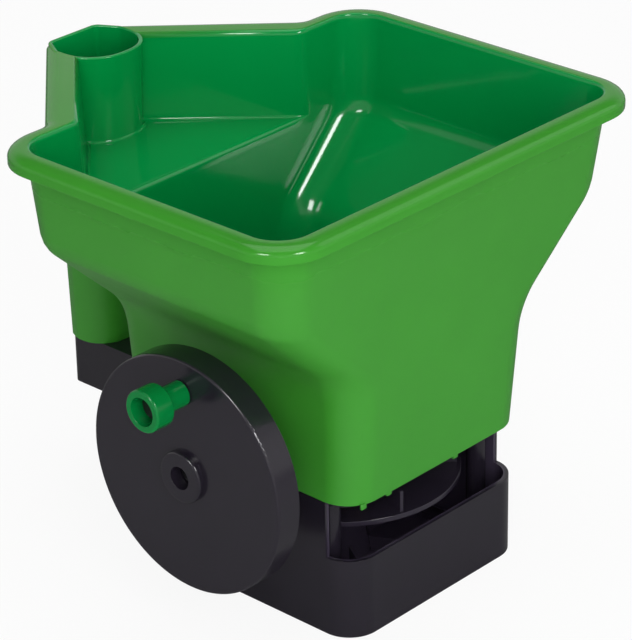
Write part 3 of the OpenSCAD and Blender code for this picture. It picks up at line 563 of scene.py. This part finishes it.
class RingMesh:
    """Collects rings of points and the faces between them."""

    def __init__(self):
        self.work = bmesh.new()

    def ring(self, points, z):
        """Adds one ring at a height."""
        return self.row([(p.x, p.y, z) for p in points])

    def row(self, points):
        """Adds points given in space."""
        return [self.work.verts.new((x * MM, y * MM, z * MM)) for x, y, z in points]

    def band(self, first, second):
        """Joins two open rows of the same length."""
        for i in range(len(first) - 1):
            self.work.faces.new((first[i], first[i + 1], second[i + 1], second[i]))

    def onward(self, row, following):
        """Joins a row to new rows, one after the other, and gives the last."""
        for points in following:
            added = self.row(points)
            self.band(row, added)
            row = added
        return row

    def fan(self, first, second):
        """Fills the sharp gap between two rows that start at one end of the ridge and run to its middle."""
        i = j = 0
        while i + 1 < len(first) or j + 1 < len(second):
            a, b = (abs(row[k + 1].co.x) if k + 1 < len(row) else -1.0
                    for row, k in ((first, i), (second, j)))
            apex = first[i + 1] if a > b else second[j + 1]
            if i or j:
                self.work.faces.new((first[i], second[j], apex))
            i, j = (i + 1, j) if a > b else (i, j + 1)

    def strip(self, first, second):
        """Joins two rings of the same length."""
        count = len(first)
        for i in range(count):
            j = (i + 1) % count
            self.work.faces.new((first[i], first[j], second[j], second[i]))

    def chain(self, rings):
        """Joins each ring to the next."""
        for a, b in zip(rings, rings[1:]):
            self.strip(a, b)

    def face(self, verts):
        """Adds one flat face."""
        self.work.faces.new(verts)

    def closed(self, rings):
        """Joins each ring to the next and closes the first and the last."""
        self.chain(rings)
        self.face(rings[0])
        self.face(rings[-1])

    def mesh(self, name):
        """Closes the seams and gives the finished mesh."""
        bmesh.ops.remove_doubles(self.work, verts=self.work.verts, dist=RING_MERGE)
        bmesh.ops.dissolve_degenerate(self.work, edges=self.work.edges, dist=RING_SLIVER)
        bmesh.ops.recalc_face_normals(self.work, faces=self.work.faces)
        for face in self.work.faces:
            face.smooth = True
        mesh = bpy.data.meshes.new(name)
        self.work.to_mesh(mesh)
        self.work.free()
        return mesh


def arc(count):
    """Shares (along, up) of a quarter circle that starts upright."""
    turns = [math.pi / 2 * i / count for i in range(count + 1)]
    return [(1.0 - math.cos(t), math.sin(t)) for t in turns]


def skin(rings, thin, joint_z, top_z, crease, steps):
    """One skin of the hopper, from the neck to under the rim, with the shelf at the joint, a rounded
    ridge in front of the shelf and a fillet behind it.

    Gives the lowest and the highest ring and the ridge's end."""
    profile = side_profile(thin)
    half = half_at(profile, joint_z)
    joint, within = (upper_ring(joint_z, half - d, thin + d, steps) for d in (0.0, 1.0))
    first, last = 2 * (steps + 1), 6 * (steps + 1)
    ridge_x, rear = joint[first]
    clear = crease + RIDGE_CLEAR
    low_levels = [z for z, _ in profile if z < joint_z - clear]
    high_levels = [z for z, _ in profile if joint_z + clear < z < top_z - TOP_CLEAR] + [top_z]
    low = [rings.ring(lower_ring(z, half_at(profile, z), thin, ridge_x, steps), z) for z in low_levels]
    high = [rings.ring(upper_ring(z, half_at(profile, z), thin, steps), z) for z in high_levels]

    edge = lower_ring(joint_z, half, thin, ridge_x, steps)
    ridge = edge[first:first + 2 * len(RIDGE_SHARES)]
    gaps = [ridge_gap(ridge_x - abs(p.x), REAR_BEND + thin) for p in ridge]
    rounds = [min(crease, CREST_ROOM * gap) for gap in gaps]
    crests = [[(p.x, rear + r * u, joint_z - r + r * v) for p, r in zip(ridge, rounds)]
              for u, v in arc(CREST_STEPS)]
    level = [(p.x, p.y, joint_z) for p in edge]
    low.append(rings.row(level[:first] + crests[0] + level[first + len(ridge):]))
    crest = rings.onward(low[-1][first:first + len(ridge)], crests[1:])

    soft = [min(SHELF_FILLET * crease, FILLET_ROOM * (p.y - rear)) if first <= i < last else 0.0
            for i, p in enumerate(joint)]
    high.insert(0, rings.row([(p.x, p.y, joint_z + f) for p, f in zip(joint, soft)]))
    behind = list(zip(joint, within, soft))[first:last]
    fillet = [[(*p.lerp(q, f * u), joint_z + f - f * v) for p, q, f in behind] for u, v in arc(FILLET_STEPS)]
    foot = rings.onward(high[0][first:last], fillet[1:])

    bent = steps + 1
    for a, b in ((foot, crest), (foot[::-1], crest[::-1])):
        rings.fan(a[:bent], b[:SHARP_POINTS])
    rings.face(foot[bent - 1:1 - bent] + crest[SHARP_POINTS - 1:1 - SHARP_POINTS][::-1])
    rings.chain(low)
    rings.chain(high)
    return low[0], high[-1], ridge_x


def rim_section(thin, roll):
    """Section of the rim from its underside over the skirt and the roll to its mouth: the inset on the
    straight sides, the one on the slanted sides, and the height."""
    under, skirt, edge, wide = RIM_Z - thin, RIM_Z - RIM_SKIRT, SKIRT_EDGE, ROLL_WIDE * roll
    section = [(thin + UNDER_ROUND - UNDER_ROUND * v, under - UNDER_ROUND * u) for u, v in arc(EDGE_STEPS)]
    section += [(thin - edge * u, skirt + edge - edge * v) for u, v in arc(EDGE_STEPS)]
    section += [(edge - edge * v, skirt + edge * u) for u, v in arc(EDGE_STEPS)]
    section += [(wide * u, RIM_Z - roll + roll * v) for u, v in arc(ROLL_STEPS)]
    section = [(inset, inset, z) for inset, z in section]
    for u, v in arc(MOUTH_STEPS):
        drop = MOUTH_DROP * u
        main = MOUTH_INSET + DRAFT * drop
        if drop < MOUTH_ROUND:
            side = MOUTH_ROUND - drop
            main = MOUTH_INSET - MOUTH_ROUND + math.sqrt(max(0.0, MOUTH_ROUND ** 2 - side ** 2))
        section.append((main, REAR_LIP + thin - MOUTH_DROP + MOUTH_DROP * v, RIM_Z - drop))
    return section


def hopper_skin(sizes):
    """The closed skin of the hopper: both walls, the shelf and the rolled rim."""
    steps, thin, crease = sizes.corner_steps, sizes.wall / MM, sizes.crease / MM
    rings = RingMesh()
    fillet = RIM_FILLET * crease
    fillet_z = RIM_Z - thin - fillet
    out_low, out_high, ridge_out = skin(rings, 0.0, SHELF_Z - thin, fillet_z, crease, steps)
    in_low, in_high, _ = skin(rings, thin, SHELF_Z, RIM_Z - MOUTH_DROP - MOUTH_CLEAR, crease, steps)

    spread = [(fillet * u, fillet_z + fillet * v) for u, v in arc(FILLET_STEPS)]
    out_rim = [rings.ring(upper_ring(z, RIM_HALF - wall_inset(z) + d, -d, steps), z) for d, z in spread[1:]]
    section = rim_section(thin, sizes.rim_roll / MM)
    rim = [rings.ring(rim_ring(main, slant, steps), z) for main, slant, z in section]
    rings.chain([out_high] + out_rim + rim + [in_high])

    lip, lip_z = FOOT_LIP, BASE_Z + FOOT_LIP
    foot = [(lip * u, lip_z - lip * v) for u, v in arc(EDGE_STEPS)]
    foot += [(thin - lip + lip * v, BASE_Z + lip * u) for u, v in arc(EDGE_STEPS)]
    rounds = [rings.ring(lower_ring(lip_z, NECK_HALF, 0.0, ridge_out, steps, d), z) for d, z in foot[1:-1]]
    rings.chain([out_low] + rounds + [in_low])
    return rings.mesh("hopper_skin")


# The grip's tube: its wall, where the hopper's wall meets it, its axis, and its edge, fillet and root
TUBE_WALL, WALL_MEETS_TUBE, TUBE_Y = 2.0, 97.0, 102.5
TUBE_EDGE, TUBE_FILLET, TUBE_ROOT, TUBE_PLAIN, FILLET_FADE = 0.7, 1.3, 2.2, 3.5, 6.0
# Depth by which the tube lies under the rim, and its fillet under the shelf
SUNK = 0.1
# The grip's outline at the rim and at its foot, and its corners
GRIP_HALF, GRIP_FRONT, GRIP_REAR = (21.8, 18.2), (84.0, 90.5), (121.2, 116.3)
GRIP_BLUNT, GRIP_CHEEK = (2.0, 4.2), (12.0, 8.0)
CHEEK_ROUND, GRIP_FLAT, FLAT_ROUND, GRIP_STEPS = 8.0, 15.0, 5.0, 10


def grip_ring(inset, z):
    """Outline of the grip, which tapers on its way down, at a height and moved in by an inset."""
    down = (RIM_Z - z) / (RIM_Z - BASE_Z)
    half, front, rear, blunt, cheek = (
        mix(*ends, down) for ends in (GRIP_HALF, GRIP_FRONT, GRIP_REAR, GRIP_BLUNT, GRIP_CHEEK))
    corners = [(half, front, half - blunt), (half, rear - cheek, CHEEK_ROUND), (GRIP_FLAT, rear, FLAT_ROUND)]
    return rounded(mirrored(corners), GRIP_STEPS, inset)


def grip_tube():
    """The grip's tube in the hopper, with a rounded mouth and a small fillet at its foot."""
    rings = RingMesh()
    top, low, edge, foot = RIM_Z - SUNK, SHELF_Z - TUBE_ROOT, TUBE_EDGE, TUBE_FILLET
    section = [(0.0, low), (-foot, SHELF_Z - SUNK)]
    section += [(-foot * (1.0 - v), SHELF_Z + foot * u) for u, v in arc(FILLET_STEPS)]
    section += [(0.0, top - TUBE_PLAIN)]
    section += [(edge * u, top - edge + edge * v) for u, v in arc(EDGE_STEPS)]
    section += [(TUBE_WALL - edge + edge * v, top - edge * u) for u, v in arc(EDGE_STEPS)]
    section += [(TUBE_WALL, top - TUBE_PLAIN), (TUBE_WALL, low)]
    made = []
    for inset, z in section:
        plain, moved = grip_ring(0.0, z), grip_ring(inset, z)
        shares = [1.0] * len(plain)
        if inset < 0.0:
            shares = [min(1.0, max(0.0, (WALL_MEETS_TUBE - p.y) / FILLET_FADE)) for p in plain]
        made.append(rings.ring([p.lerp(q, share) for p, q, share in zip(plain, moved, shares)], z))
    rings.chain(made + made[:1])
    return rings.mesh("grip_tube")


# Turns a prism drawn in X, Y, Z into one drawn in Y, Z and lying along X
YZ_TO_WORLD = Matrix(((0, 0, 1, 0), (1, 0, 0, 0), (0, 1, 0, 0), (0, 0, 0, 1)))
AXIS_Y, CRANK_Z, SLOT_HALF, SLOT_STEPS = -45.0, 80.9, 12.6, 24
GATE_Z, GATE_SLOT_HALF, GATE_SLOT_HIGH, GATE_SLOT_ROUND = 108.2, 10.0, 1.6, 1.5
# X between which the cutters of the two slots reach, through the neck's walls
CRANK_SLOT_X, GATE_SLOT_X = (-66.0, -50.0), (50.0, 75.0)
# How far a cutter reaches past what it cuts, below the shelf and into the tube's wall
CUT_PAST, BORE_BELOW, BORE_INTO = 2.0, 6.0, 0.5
CIRCLE_STEPS, CORNER_STEPS = 32, 5


def cutter(name, lower, low, high, turn=None, upper=None):
    """A closed prism, or a tapered one with other upper points, used to cut the hopper."""
    rings = RingMesh()
    rings.closed([rings.ring(lower, low), rings.ring(upper or lower, high)])
    mesh = rings.mesh(name)
    if turn:
        mesh.transform(turn)
    return put_in_scene(name, mesh)


def circle(x, y, r):
    """Points of a circle."""
    turns = [2 * math.pi * i / CIRCLE_STEPS for i in range(CIRCLE_STEPS)]
    return [Vector((x + r * math.cos(t), y + r * math.sin(t))) for t in turns]


def rectangle(x0, x1, y0, y1, r=0.0):
    """Points of a rectangle, with its corners rounded where a radius is given."""
    return rounded([(x0, y0, r), (x1, y0, r), (x1, y1, r), (x0, y1, r)], CORNER_STEPS)


def tube_bore_cutter():
    """The grip's hollow through the hopper's shelf and rim."""
    low, high, inset = SHELF_Z - BORE_BELOW, RIM_Z + CUT_PAST, TUBE_WALL - BORE_INTO
    return cutter("tube_bore", grip_ring(inset, low), low, high, upper=grip_ring(inset, high))


def crank_slot_cutter():
    """The slot in the neck that drops over the crank's bearing, drawn in the plane of Y and Z."""
    turns = [math.pi * i / SLOT_STEPS for i in range(SLOT_STEPS + 1)]
    top = [Vector((AXIS_Y + SLOT_HALF * math.cos(t), CRANK_Z + SLOT_HALF * math.sin(t))) for t in turns]
    foot = [Vector((AXIS_Y + side * SLOT_HALF, BASE_Z - CUT_PAST)) for side in (-1, 1)]
    return cutter("crank_slot", foot + top, *CRANK_SLOT_X, YZ_TO_WORLD)


def gate_slot_cutter():
    """The slot in the neck that the flow gate's stem passes through, drawn in the plane of Y and Z."""
    points = rectangle(AXIS_Y - GATE_SLOT_HALF, AXIS_Y + GATE_SLOT_HALF,
                       GATE_Z - GATE_SLOT_HIGH, GATE_Z + GATE_SLOT_HIGH, GATE_SLOT_ROUND)
    return cutter("gate_slot", points, *GATE_SLOT_X, YZ_TO_WORLD)


# Head radius, head height and shank radius of the screws
SCREWS = {"base_screws": (3.2, 2.4, 1.75), "feed_plate_screws": (3.0, 1.8, 1.5)}


def screw_places(node_name):
    """Places of a set of four screws in plan."""
    low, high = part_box(node_name)
    head_r = SCREWS[node_name][0]
    x, y0, y1 = high[0] / MM - head_r, low[1] / MM + head_r, high[1] / MM - head_r
    return [(side * x, y) for side in (-1, 1) for y in (y0, y1)]


# The screw bosses, the webs that join them to the neck's walls, and the lugs under its front edge
BOSS_R, BOSS_HOLE, BOSS_HIGH, BOSS_CAP, BOSS_LIFT = 4.5, 1.95, 18.0, 3.7, 0.2
WEB_HALF, WEB_FROM_AXIS, WEB_FROM_WALL = 2.5, 3.5, 1.2
LUG_PLACES = (9.3 - NECK_HALF, 25.8 - NECK_HALF, 0.2 * NECK_HALF)
LUG_DEPTH = (NECK_FRONT + 0.6, NECK_FRONT + 2.0)
LUG_HALF, LUG_ROUND, LUG_DROP, LUG_RISE = 1.7, 0.65, 1.6, 1.0
FITTING_EDGE, FITTING_STEPS, FITTING_ANGLE = 0.3, 2, 40.0


def neck_fittings():
    """The screw bosses in the neck and the three lugs under its front edge."""
    rings = RingMesh()
    low, high = BASE_Z + BOSS_LIFT, BASE_Z + BOSS_LIFT + BOSS_HIGH
    levels = ((BOSS_HOLE, high - BOSS_CAP), (BOSS_HOLE, low), (BOSS_R, low), (BOSS_R, high))
    for x, y in screw_places("base_screws"):
        rings.closed([rings.ring(circle(x, y, r), z) for r, z in levels])
        web = sorted((x + math.copysign(WEB_FROM_AXIS, x), math.copysign(NECK_HALF - WEB_FROM_WALL, x)))
        points = rectangle(*web, y - WEB_HALF, y + WEB_HALF)
        rings.closed([rings.ring(points, z) for z in (low, high)])
    for x in LUG_PLACES:
        points = rectangle(x - LUG_HALF, x + LUG_HALF, *LUG_DEPTH, LUG_ROUND)
        rings.closed([rings.ring(points, z) for z in (BASE_Z - LUG_DROP, BASE_Z + LUG_RISE)])
    return rings.mesh("neck_fittings")


# Marks on the points of a mesh, which the finishes read

# Middle of the bin in plan, and how strongly a face's direction counts, below the rim also its slope
BIN_MIDDLE_Y, FACING_GAIN, RIM_DEPTH, SLOPE_START, SLOPE_GAIN = -36.0, 2.0, 6.0, 0.5, 1.8
# The base tray in plan, its posts, and the least depth inside its walls and floor for painted fill light
TRAY_DEPTH, TRAY_CORNER, POST_RADIUS, POST_CLEAR, PAINTED_FILL_DEPTH = 133.6, 15.0, 4.5, 0.3, 1.2
# Share of the painted fill light, a paler tone that lifts the shade, on the pieces in the throwing gap
PAINTED_FILL_SHARES = {"base_tray": 1.0, "impeller": 0.25}


def mark(mesh, name, value_at):
    """Gives every point of a mesh a value."""
    values = mesh.attributes.new(name, "FLOAT", "POINT")
    for vertex in mesh.vertices:
        values.data[vertex.index].value = value_at(vertex)


def mark_inside(mesh):
    """Marks the points on the inner side of the hopper, which take the deeper tone without painted sheen."""
    middle = Vector((0.0, BIN_MIDDLE_Y * MM))

    def inside(vertex):
        facing = FACING_GAIN * (middle - vertex.co.xy).normalized().dot(vertex.normal.xy)
        if vertex.co.z < (RIM_Z - RIM_DEPTH) * MM:
            facing += SLOPE_START + SLOPE_GAIN * vertex.normal.z
        return min(1.0, max(0.0, facing))

    mark(mesh, "inside", inside)


def mark_tube(mesh):
    """Marks the tube for the inner tone, not the outer face at the hopper's back, which has painted sheen.
    """
    axis = Vector((0.0, TUBE_Y * MM))

    def inside(vertex):
        outward = (vertex.co.xy - axis).dot(vertex.normal.xy) > 0.0
        behind = vertex.co.y > WALL_MEETS_TUBE * MM
        return 0.0 if outward and behind else 1.0

    mark(mesh, "inside", inside)


def mark_dust(mesh, share):
    """Marks what lies inside the base tray, apart from its screw posts, for painted fill light in its shade.
    """
    low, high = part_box("base_tray")
    half, middle = high[0] / MM, low[1] / MM + 0.5 * TRAY_DEPTH
    posts = screw_places("base_screws")

    def dust(vertex):
        x, y, z = vertex.co / MM
        across, along = abs(x) - half + TRAY_CORNER, abs(y - middle) - 0.5 * TRAY_DEPTH + TRAY_CORNER
        inset = TRAY_CORNER - math.hypot(max(across, 0.0), max(along, 0.0)) - min(max(across, along), 0.0)
        off_post = all(math.hypot(x - a, y - b) > POST_RADIUS + POST_CLEAR for a, b in posts)
        return share if inset > PAINTED_FILL_DEPTH and z > PAINTED_FILL_DEPTH and off_post else 0.0

    mark(mesh, "dust", dust)


# Geometry Nodes for the pieces that repeat

SCREW_SIZES = ("Head radius", "Head height", "Shank radius", "Shank length")
# The bars that cut the cross recess: length and width by the head's radius, depth by its height
CROSS_LONG, CROSS_WIDE, CROSS_DEEP = 1.1, 0.26, 1.1
HEAD_SIDES, SHANK_SIDES = 32, 24


def screw_tree():
    """A node tree that puts a screw with a cross recess on every point of a mesh."""
    tree = bpy.data.node_groups.new("cross_screws", "GeometryNodeTree")
    face = tree.interface
    face.new_socket("Geometry", in_out="INPUT", socket_type="NodeSocketGeometry")
    face.new_socket("Geometry", in_out="OUTPUT", socket_type="NodeSocketGeometry")
    for name in SCREW_SIZES:
        face.new_socket(name, in_out="INPUT", socket_type="NodeSocketFloat")
    face.new_socket("Finish", in_out="INPUT", socket_type="NodeSocketMaterial")
    start, end = tree.nodes.new("NodeGroupInput"), tree.nodes.new("NodeGroupOutput")
    given = {socket.name: Shade(tree, socket) for socket in start.outputs}
    head_r, head_h, shank_r, shank_l = (given[name] for name in SCREW_SIZES)

    def cylinder(sides, radius, length, middle):
        solid = radius.out("GeometryNodeMeshCylinder", "Mesh", Vertices=sides, Radius=radius, Depth=length)
        place = middle.out("ShaderNodeCombineXYZ", Z=middle)
        return solid.out("GeometryNodeTransform", Geometry=solid, Translation=place)

    head = cylinder(HEAD_SIDES, head_r, head_h, head_h * 0.5)
    cut = head.node("GeometryNodeMeshBoolean", {"operation": "DIFFERENCE"}, Mesh_1=head)
    long_side, short_side, depth = head_r * CROSS_LONG, head_r * CROSS_WIDE, head_h * CROSS_DEEP
    for across, along in ((long_side, short_side), (short_side, long_side)):
        size = depth.out("ShaderNodeCombineXYZ", X=across, Y=along, Z=depth)
        link(size.out("GeometryNodeMeshCube", "Mesh", Size=size), cut, "Mesh 2")
    shank = cylinder(SHANK_SIDES, shank_r, shank_l, shank_l * 0.5 + head_h)
    join = shank.node("GeometryNodeJoinGeometry", i0=Shade(tree, cut.outputs[0]))
    link(shank, join, 0)
    screw = Shade(tree, join.outputs[0])
    points = screw.out("GeometryNodeMeshToPoints", Mesh=given["Geometry"])
    put = screw.out("GeometryNodeInstanceOnPoints", Points=points, Instance=screw)
    real = put.out("GeometryNodeRealizeInstances", Geometry=put)
    link(real.out("GeometryNodeSetMaterial", Geometry=real, Material=given["Finish"]), end, 0)
    return tree


def screw_set(node_name, point_down):
    """The screws of one set as one piece, with their heads at the foot or at the top of the set's box."""
    head_r, head_h, shank_r = SCREWS[node_name]
    low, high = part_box(node_name)
    length = (high[2] - low[2]) / MM
    head_z = -high[2] if point_down else low[2]
    mesh = bpy.data.meshes.new(node_name + "_places")
    mesh.from_pydata([(x * MM, y * MM, head_z) for x, y in screw_places(node_name)], [], [])
    work = put_in_scene(node_name + "_screws", mesh)
    tree = bpy.data.node_groups.get("cross_screws") or screw_tree()
    modifier = work.modifiers.new("screws", "NODES")
    modifier.node_group = tree
    lengths = (head_r, head_h, shank_r, length - head_h)
    values = {name: size * MM for name, size in zip(SCREW_SIZES, lengths)}
    values["Finish"] = FINISHES["plated_steel"]
    for item in tree.interface.items_tree:
        if item.in_out == "INPUT" and item.name in values:
            modifier[item.identifier] = values[item.name]
    made = baked(work)
    if point_down:
        made.transform(Matrix.Rotation(math.pi, 4, "X") @ Matrix.Scale(-1.0, 4, (0, 1, 0)))
        made.flip_normals()
    new_piece(node_name + "_set", made, node_name)


# Operators, one for each piece or group of like pieces


class SPREADER_OT_finishes(bpy.types.Operator):
    """Makes the finishes and gives one to every CAD piece."""

    bl_idname = "spreader.finishes"
    bl_label = "Finishes"

    def execute(self, context):
        """Makes the materials and assigns them."""
        colours = context.scene.spreader_colours
        # Outer and inner green are one plastic; the outer one holds painted warm sheen.
        outer, inner = tuple(colours.green), tuple(colours.inner_green)
        knob = scaled(inner, KNOB_TONE)
        FINISHES["green_plastic"] = green_plastic("green_plastic", outer, inner)
        FINISHES["knob_green"] = green_plastic("knob_green", knob, knob, KNOB_DULLED)
        for make, colour in ((black_plastic, colours.black), (grey_plastic, colours.grey),
                             (bearing_brass, colours.brass), (plated_steel, colours.steel),
                             (dull_steel, colours.steel)):
            FINISHES[make.__name__] = make(tuple(colour))
        for name, piece in NODES.items():
            piece.data.materials.clear()
            piece.data.materials.append(finish_of(name))
        return {"FINISHED"}


class SPREADER_OT_hopper(bpy.types.Operator):
    """Builds the moulded hopper with its rolled rim, shelf, slots, grip tube and fittings."""

    bl_idname = "spreader.hopper"
    bl_label = "Hopper"

    def execute(self, context):
        """Makes the hopper's skin, its tube and its fittings, each as a piece."""
        work = put_in_scene("hopper_work", hopper_skin(context.scene.spreader_sizes))
        tools = [tube_bore_cutter(), crank_slot_cutter(), gate_slot_cutter()]
        for tool in tools:
            cut = work.modifiers.new(tool.name, "BOOLEAN")
            cut.operation = "DIFFERENCE"
            cut.solver = "EXACT"
            cut.object = tool
        add_even_normals(work)
        moulding = baked(work)
        for tool in tools:
            bpy.data.objects.remove(tool)
        moulding.materials.clear()
        mark_inside(moulding)
        new_piece("hopper_moulding", moulding, "hopper")

        work = put_in_scene("tube_work", grip_tube())
        add_even_normals(work)
        tube = baked(work)
        mark_tube(tube)
        new_piece("grip_tube", tube, "hopper")

        work = put_in_scene("fittings_work", neck_fittings())
        add_bevel(work, FITTING_EDGE * MM, FITTING_STEPS, FITTING_ANGLE)
        add_even_normals(work)
        new_piece("neck_fittings", baked(work), "hopper")
        return {"FINISHED"}


# Share of the edge radius that the edges of each moulding get
EDGE_SHARES = {
    "base_tray": 1.0, "chassis": 1.0, "crank_wheel": 0.5, "impeller": 0.5, "flow_gate": 1.0,
    "grip_column": 0.5, "crank_knob": 0.5, "feed_plate": 0.4, "feed_chute": 0.4, "agitator": 0.6,
}


class SPREADER_OT_mouldings(bpy.types.Operator):
    """Rounds the edges of the other plastic mouldings."""

    bl_idname = "spreader.mouldings"
    bl_label = "Mouldings"

    def execute(self, context):
        """Makes a softened copy of each moulding."""
        edge = context.scene.spreader_sizes.edge
        for name, share in EDGE_SHARES.items():
            mesh = softened(name, share * edge)
            if name == "crank_knob":
                mesh.materials.append(FINISHES["knob_green"])
            # The base's hollow and, fainter, the disc get painted fill light in their shade.
            if name in PAINTED_FILL_SHARES:
                mark_dust(mesh, PAINTED_FILL_SHARES[name])
            new_piece(name + "_soft", mesh, name)
        return {"FINISHED"}


class SPREADER_OT_screws(bpy.types.Operator):
    """Makes the screws that hold the base and the feed plate."""

    bl_idname = "spreader.screws"
    bl_label = "Screws"

    def execute(self, context):
        """Makes two sets of screws from one node tree."""
        screw_set("base_screws", point_down=False)
        screw_set("feed_plate_screws", point_down=True)
        return {"FINISHED"}


# The photograph's camera: its place in metres, its angles in degrees and its picture in pixels
CAMERA_PLACE = (-0.92077, -0.89420, 0.73666)
CAMERA_TURN, CAMERA_TILT, CAMERA_ROLL = -46.85, 26.27, -1.12
FOCAL_PIXELS, PICTURE_HEIGHT, SENSOR, CLIP_END = 3142.1, 640.0, 36.0, 50.0
# The floor: its reach, its tone by plain light and in reflections, its roughness, and how white it glows
# to the camera
FLOOR_REACH, FLOOR_TONE, FLOOR_SHINE, FLOOR_ROUGH, FLOOR_WHITE = 6.0, 0.97, 0.28, 0.9, 0.9
# The studio wall in reflections: its strength, its loss upwards and where, and the strength of other rays
WALL_SHINE, WALL_LOSS, WALL_FADE, ROOM_LIGHT = 0.6, 0.52, (0.42, 0.62), 0.4
LAMP_AIM = (0, 0, 0.1)
# Name, place, width and power of each lamp, whether it lights surfaces and whether reflections show it
LAMPS = (
    ("lamp_top", (0.2, 0.2, 2.0), 1.6, 12.2, True, True),
    ("lamp_key", (-0.85, -1.2, 0.7), 1.2, 18.3, True, False),
    ("lamp_left", (-1.45, -0.3, 1.45), 0.5, 14.0, False, True),
    ("lamp_right", (-0.2, -1.5, 1.35), 0.45, 15.0, False, True),
    ("lamp_far", (1.17, -0.67, 1.3), 0.8, 2.0, False, True),
)


class SPREADER_OT_stage(bpy.types.Operator):
    """Sets up the floor, lights, world and camera."""

    bl_idname = "spreader.stage"
    bl_label = "Stage"

    def execute(self, context):
        """Makes the studio."""
        scene = context.scene
        backdrop = tuple(scene.spreader_colours.backdrop)
        self.floor(backdrop)
        self.world(scene, backdrop)
        self.lamps()
        self.camera(scene)
        scene.view_settings.view_transform = "Standard"
        return {"FINISHED"}

    def floor(self, backdrop):
        """A wide pale floor that takes the object's shadow and reads white to the camera."""
        mesh = bpy.data.meshes.new("floor")
        corners = [(x * FLOOR_REACH, y * FLOOR_REACH, 0) for x, y in ((-1, -1), (1, -1), (1, 1), (-1, 1))]
        mesh.from_pydata(corners, [], [(0, 1, 2, 3)])
        floor = put_in_scene("floor", mesh)
        material, place, shader = start_material("floor_white")
        shine = place.out("ShaderNodeLightPath", "Is Glossy Ray")
        link(mixed(shine, scaled(backdrop, FLOOR_TONE), scaled(backdrop, FLOOR_SHINE)), shader, "Base Color")
        set_plain(shader, Roughness=FLOOR_ROUGH)
        seen = place.out("ShaderNodeLightPath", "Is Camera Ray")
        white = place.out("ShaderNodeEmission", 0, Color=(*backdrop, 1.0), Strength=1.0)
        lit = Shade(place.tree, shader.outputs[0])
        surface = place.out("ShaderNodeMixShader", 0, Fac=seen * FLOOR_WHITE, i1=lit, i2=white)
        link(surface, place.tree.nodes["Material Output"], "Surface")
        mesh.materials.append(material)

    def world(self, scene, backdrop):
        """Even studio light, which the camera sees as a plain backdrop and reflections as a wall that
        darkens upwards."""
        world = bpy.data.worlds.new("studio")
        scene.world = world
        world.use_nodes = True
        tree = world.node_tree
        back = tree.nodes["Background"]
        back.inputs["Color"].default_value = (*backdrop, 1.0)
        path = tree.nodes.new("ShaderNodeLightPath")
        seen, shine = (Shade(tree, path.outputs[name]) for name in ("Is Camera Ray", "Is Glossy Ray"))
        coords = Shade(tree, tree.nodes.new("ShaderNodeTexCoord").outputs["Generated"])
        height = coords.out("ShaderNodeSeparateXYZ", "Z", Vector=coords)
        wall = WALL_SHINE - height.clamp(*WALL_FADE) * WALL_LOSS
        strength = seen + shine * wall + (1.0 - seen - shine) * ROOM_LIGHT
        link(strength, back, "Strength")

    def lamps(self):
        """A soft key lamp by the camera, a broad one above, and three around that only make highlights."""
        for name, place, width, power, lights, shines in LAMPS:
            lamp = bpy.data.lights.new(name, "AREA")
            lamp.shape = "SQUARE"
            lamp.size = width
            lamp.energy = power
            rig = put_in_scene(name, lamp)
            rig.visible_diffuse, rig.visible_glossy = lights, shines
            rig.location = place
            rig.rotation_euler = (Vector(LAMP_AIM) - Vector(place)).to_track_quat("-Z", "Y").to_euler()

    def camera(self, scene):
        """The photograph's viewing angle."""
        data = bpy.data.cameras.new("camera")
        data.sensor_width = SENSOR
        data.sensor_fit = "AUTO"
        data.lens = FOCAL_PIXELS / PICTURE_HEIGHT * SENSOR
        data.clip_end = CLIP_END
        camera = put_in_scene("camera", data)
        turn, tilt, roll = (math.radians(v) for v in (CAMERA_TURN, CAMERA_TILT, CAMERA_ROLL))
        level = Vector((math.sin(turn), -math.cos(turn), 0.0))
        back = math.cos(tilt) * level + Vector((0.0, 0.0, math.sin(tilt)))
        right = Vector((math.cos(turn), math.sin(turn), 0.0))
        up = back.cross(right)
        rolled_right = math.cos(roll) * right + math.sin(roll) * up
        rolled_up = math.cos(roll) * up - math.sin(roll) * right
        axes = Matrix((rolled_right, rolled_up, back)).transposed().to_4x4()
        camera.matrix_world = Matrix.Translation(CAMERA_PLACE) @ axes
        scene.camera = camera


STEPS = (SPREADER_OT_finishes, SPREADER_OT_hopper, SPREADER_OT_mouldings,
         SPREADER_OT_screws, SPREADER_OT_stage)


class SPREADER_PT_panel(bpy.types.Panel):
    """Lists the steps that build the spreader."""

    bl_idname = "SPREADER_PT_panel"
    bl_label = "Hand spreader"
    bl_space_type = "VIEW_3D"
    bl_region_type = "UI"
    bl_category = "Spreader"

    def draw(self, context):
        """Shows the sizes, the colours and a button for each step."""
        layout = self.layout
        for group in (context.scene.spreader_sizes, context.scene.spreader_colours):
            for name in group.bl_rna.properties.keys():
                if name not in ("rna_type", "name"):
                    layout.prop(group, name)
        for step in STEPS:
            layout.operator(step.bl_idname)


CLASSES = (SpreaderSizes, SpreaderColours) + STEPS + (SPREADER_PT_panel,)


def register():
    """Registers the classes and their settings."""
    for item in CLASSES:
        bpy.utils.register_class(item)
    bpy.types.Scene.spreader_sizes = bpy.props.PointerProperty(type=SpreaderSizes)
    bpy.types.Scene.spreader_colours = bpy.props.PointerProperty(type=SpreaderColours)


def unregister():
    """Removes the settings and classes."""
    del bpy.types.Scene.spreader_colours
    del bpy.types.Scene.spreader_sizes
    for item in reversed(CLASSES):
        bpy.utils.unregister_class(item)


def main():
    """Builds everything."""
    register()
    bpy.ops.spreader.finishes()
    bpy.ops.spreader.hopper()
    bpy.ops.spreader.mouldings()
    bpy.ops.spreader.screws()
    bpy.ops.spreader.stage()
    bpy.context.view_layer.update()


if __name__ == "__main__":
    main()
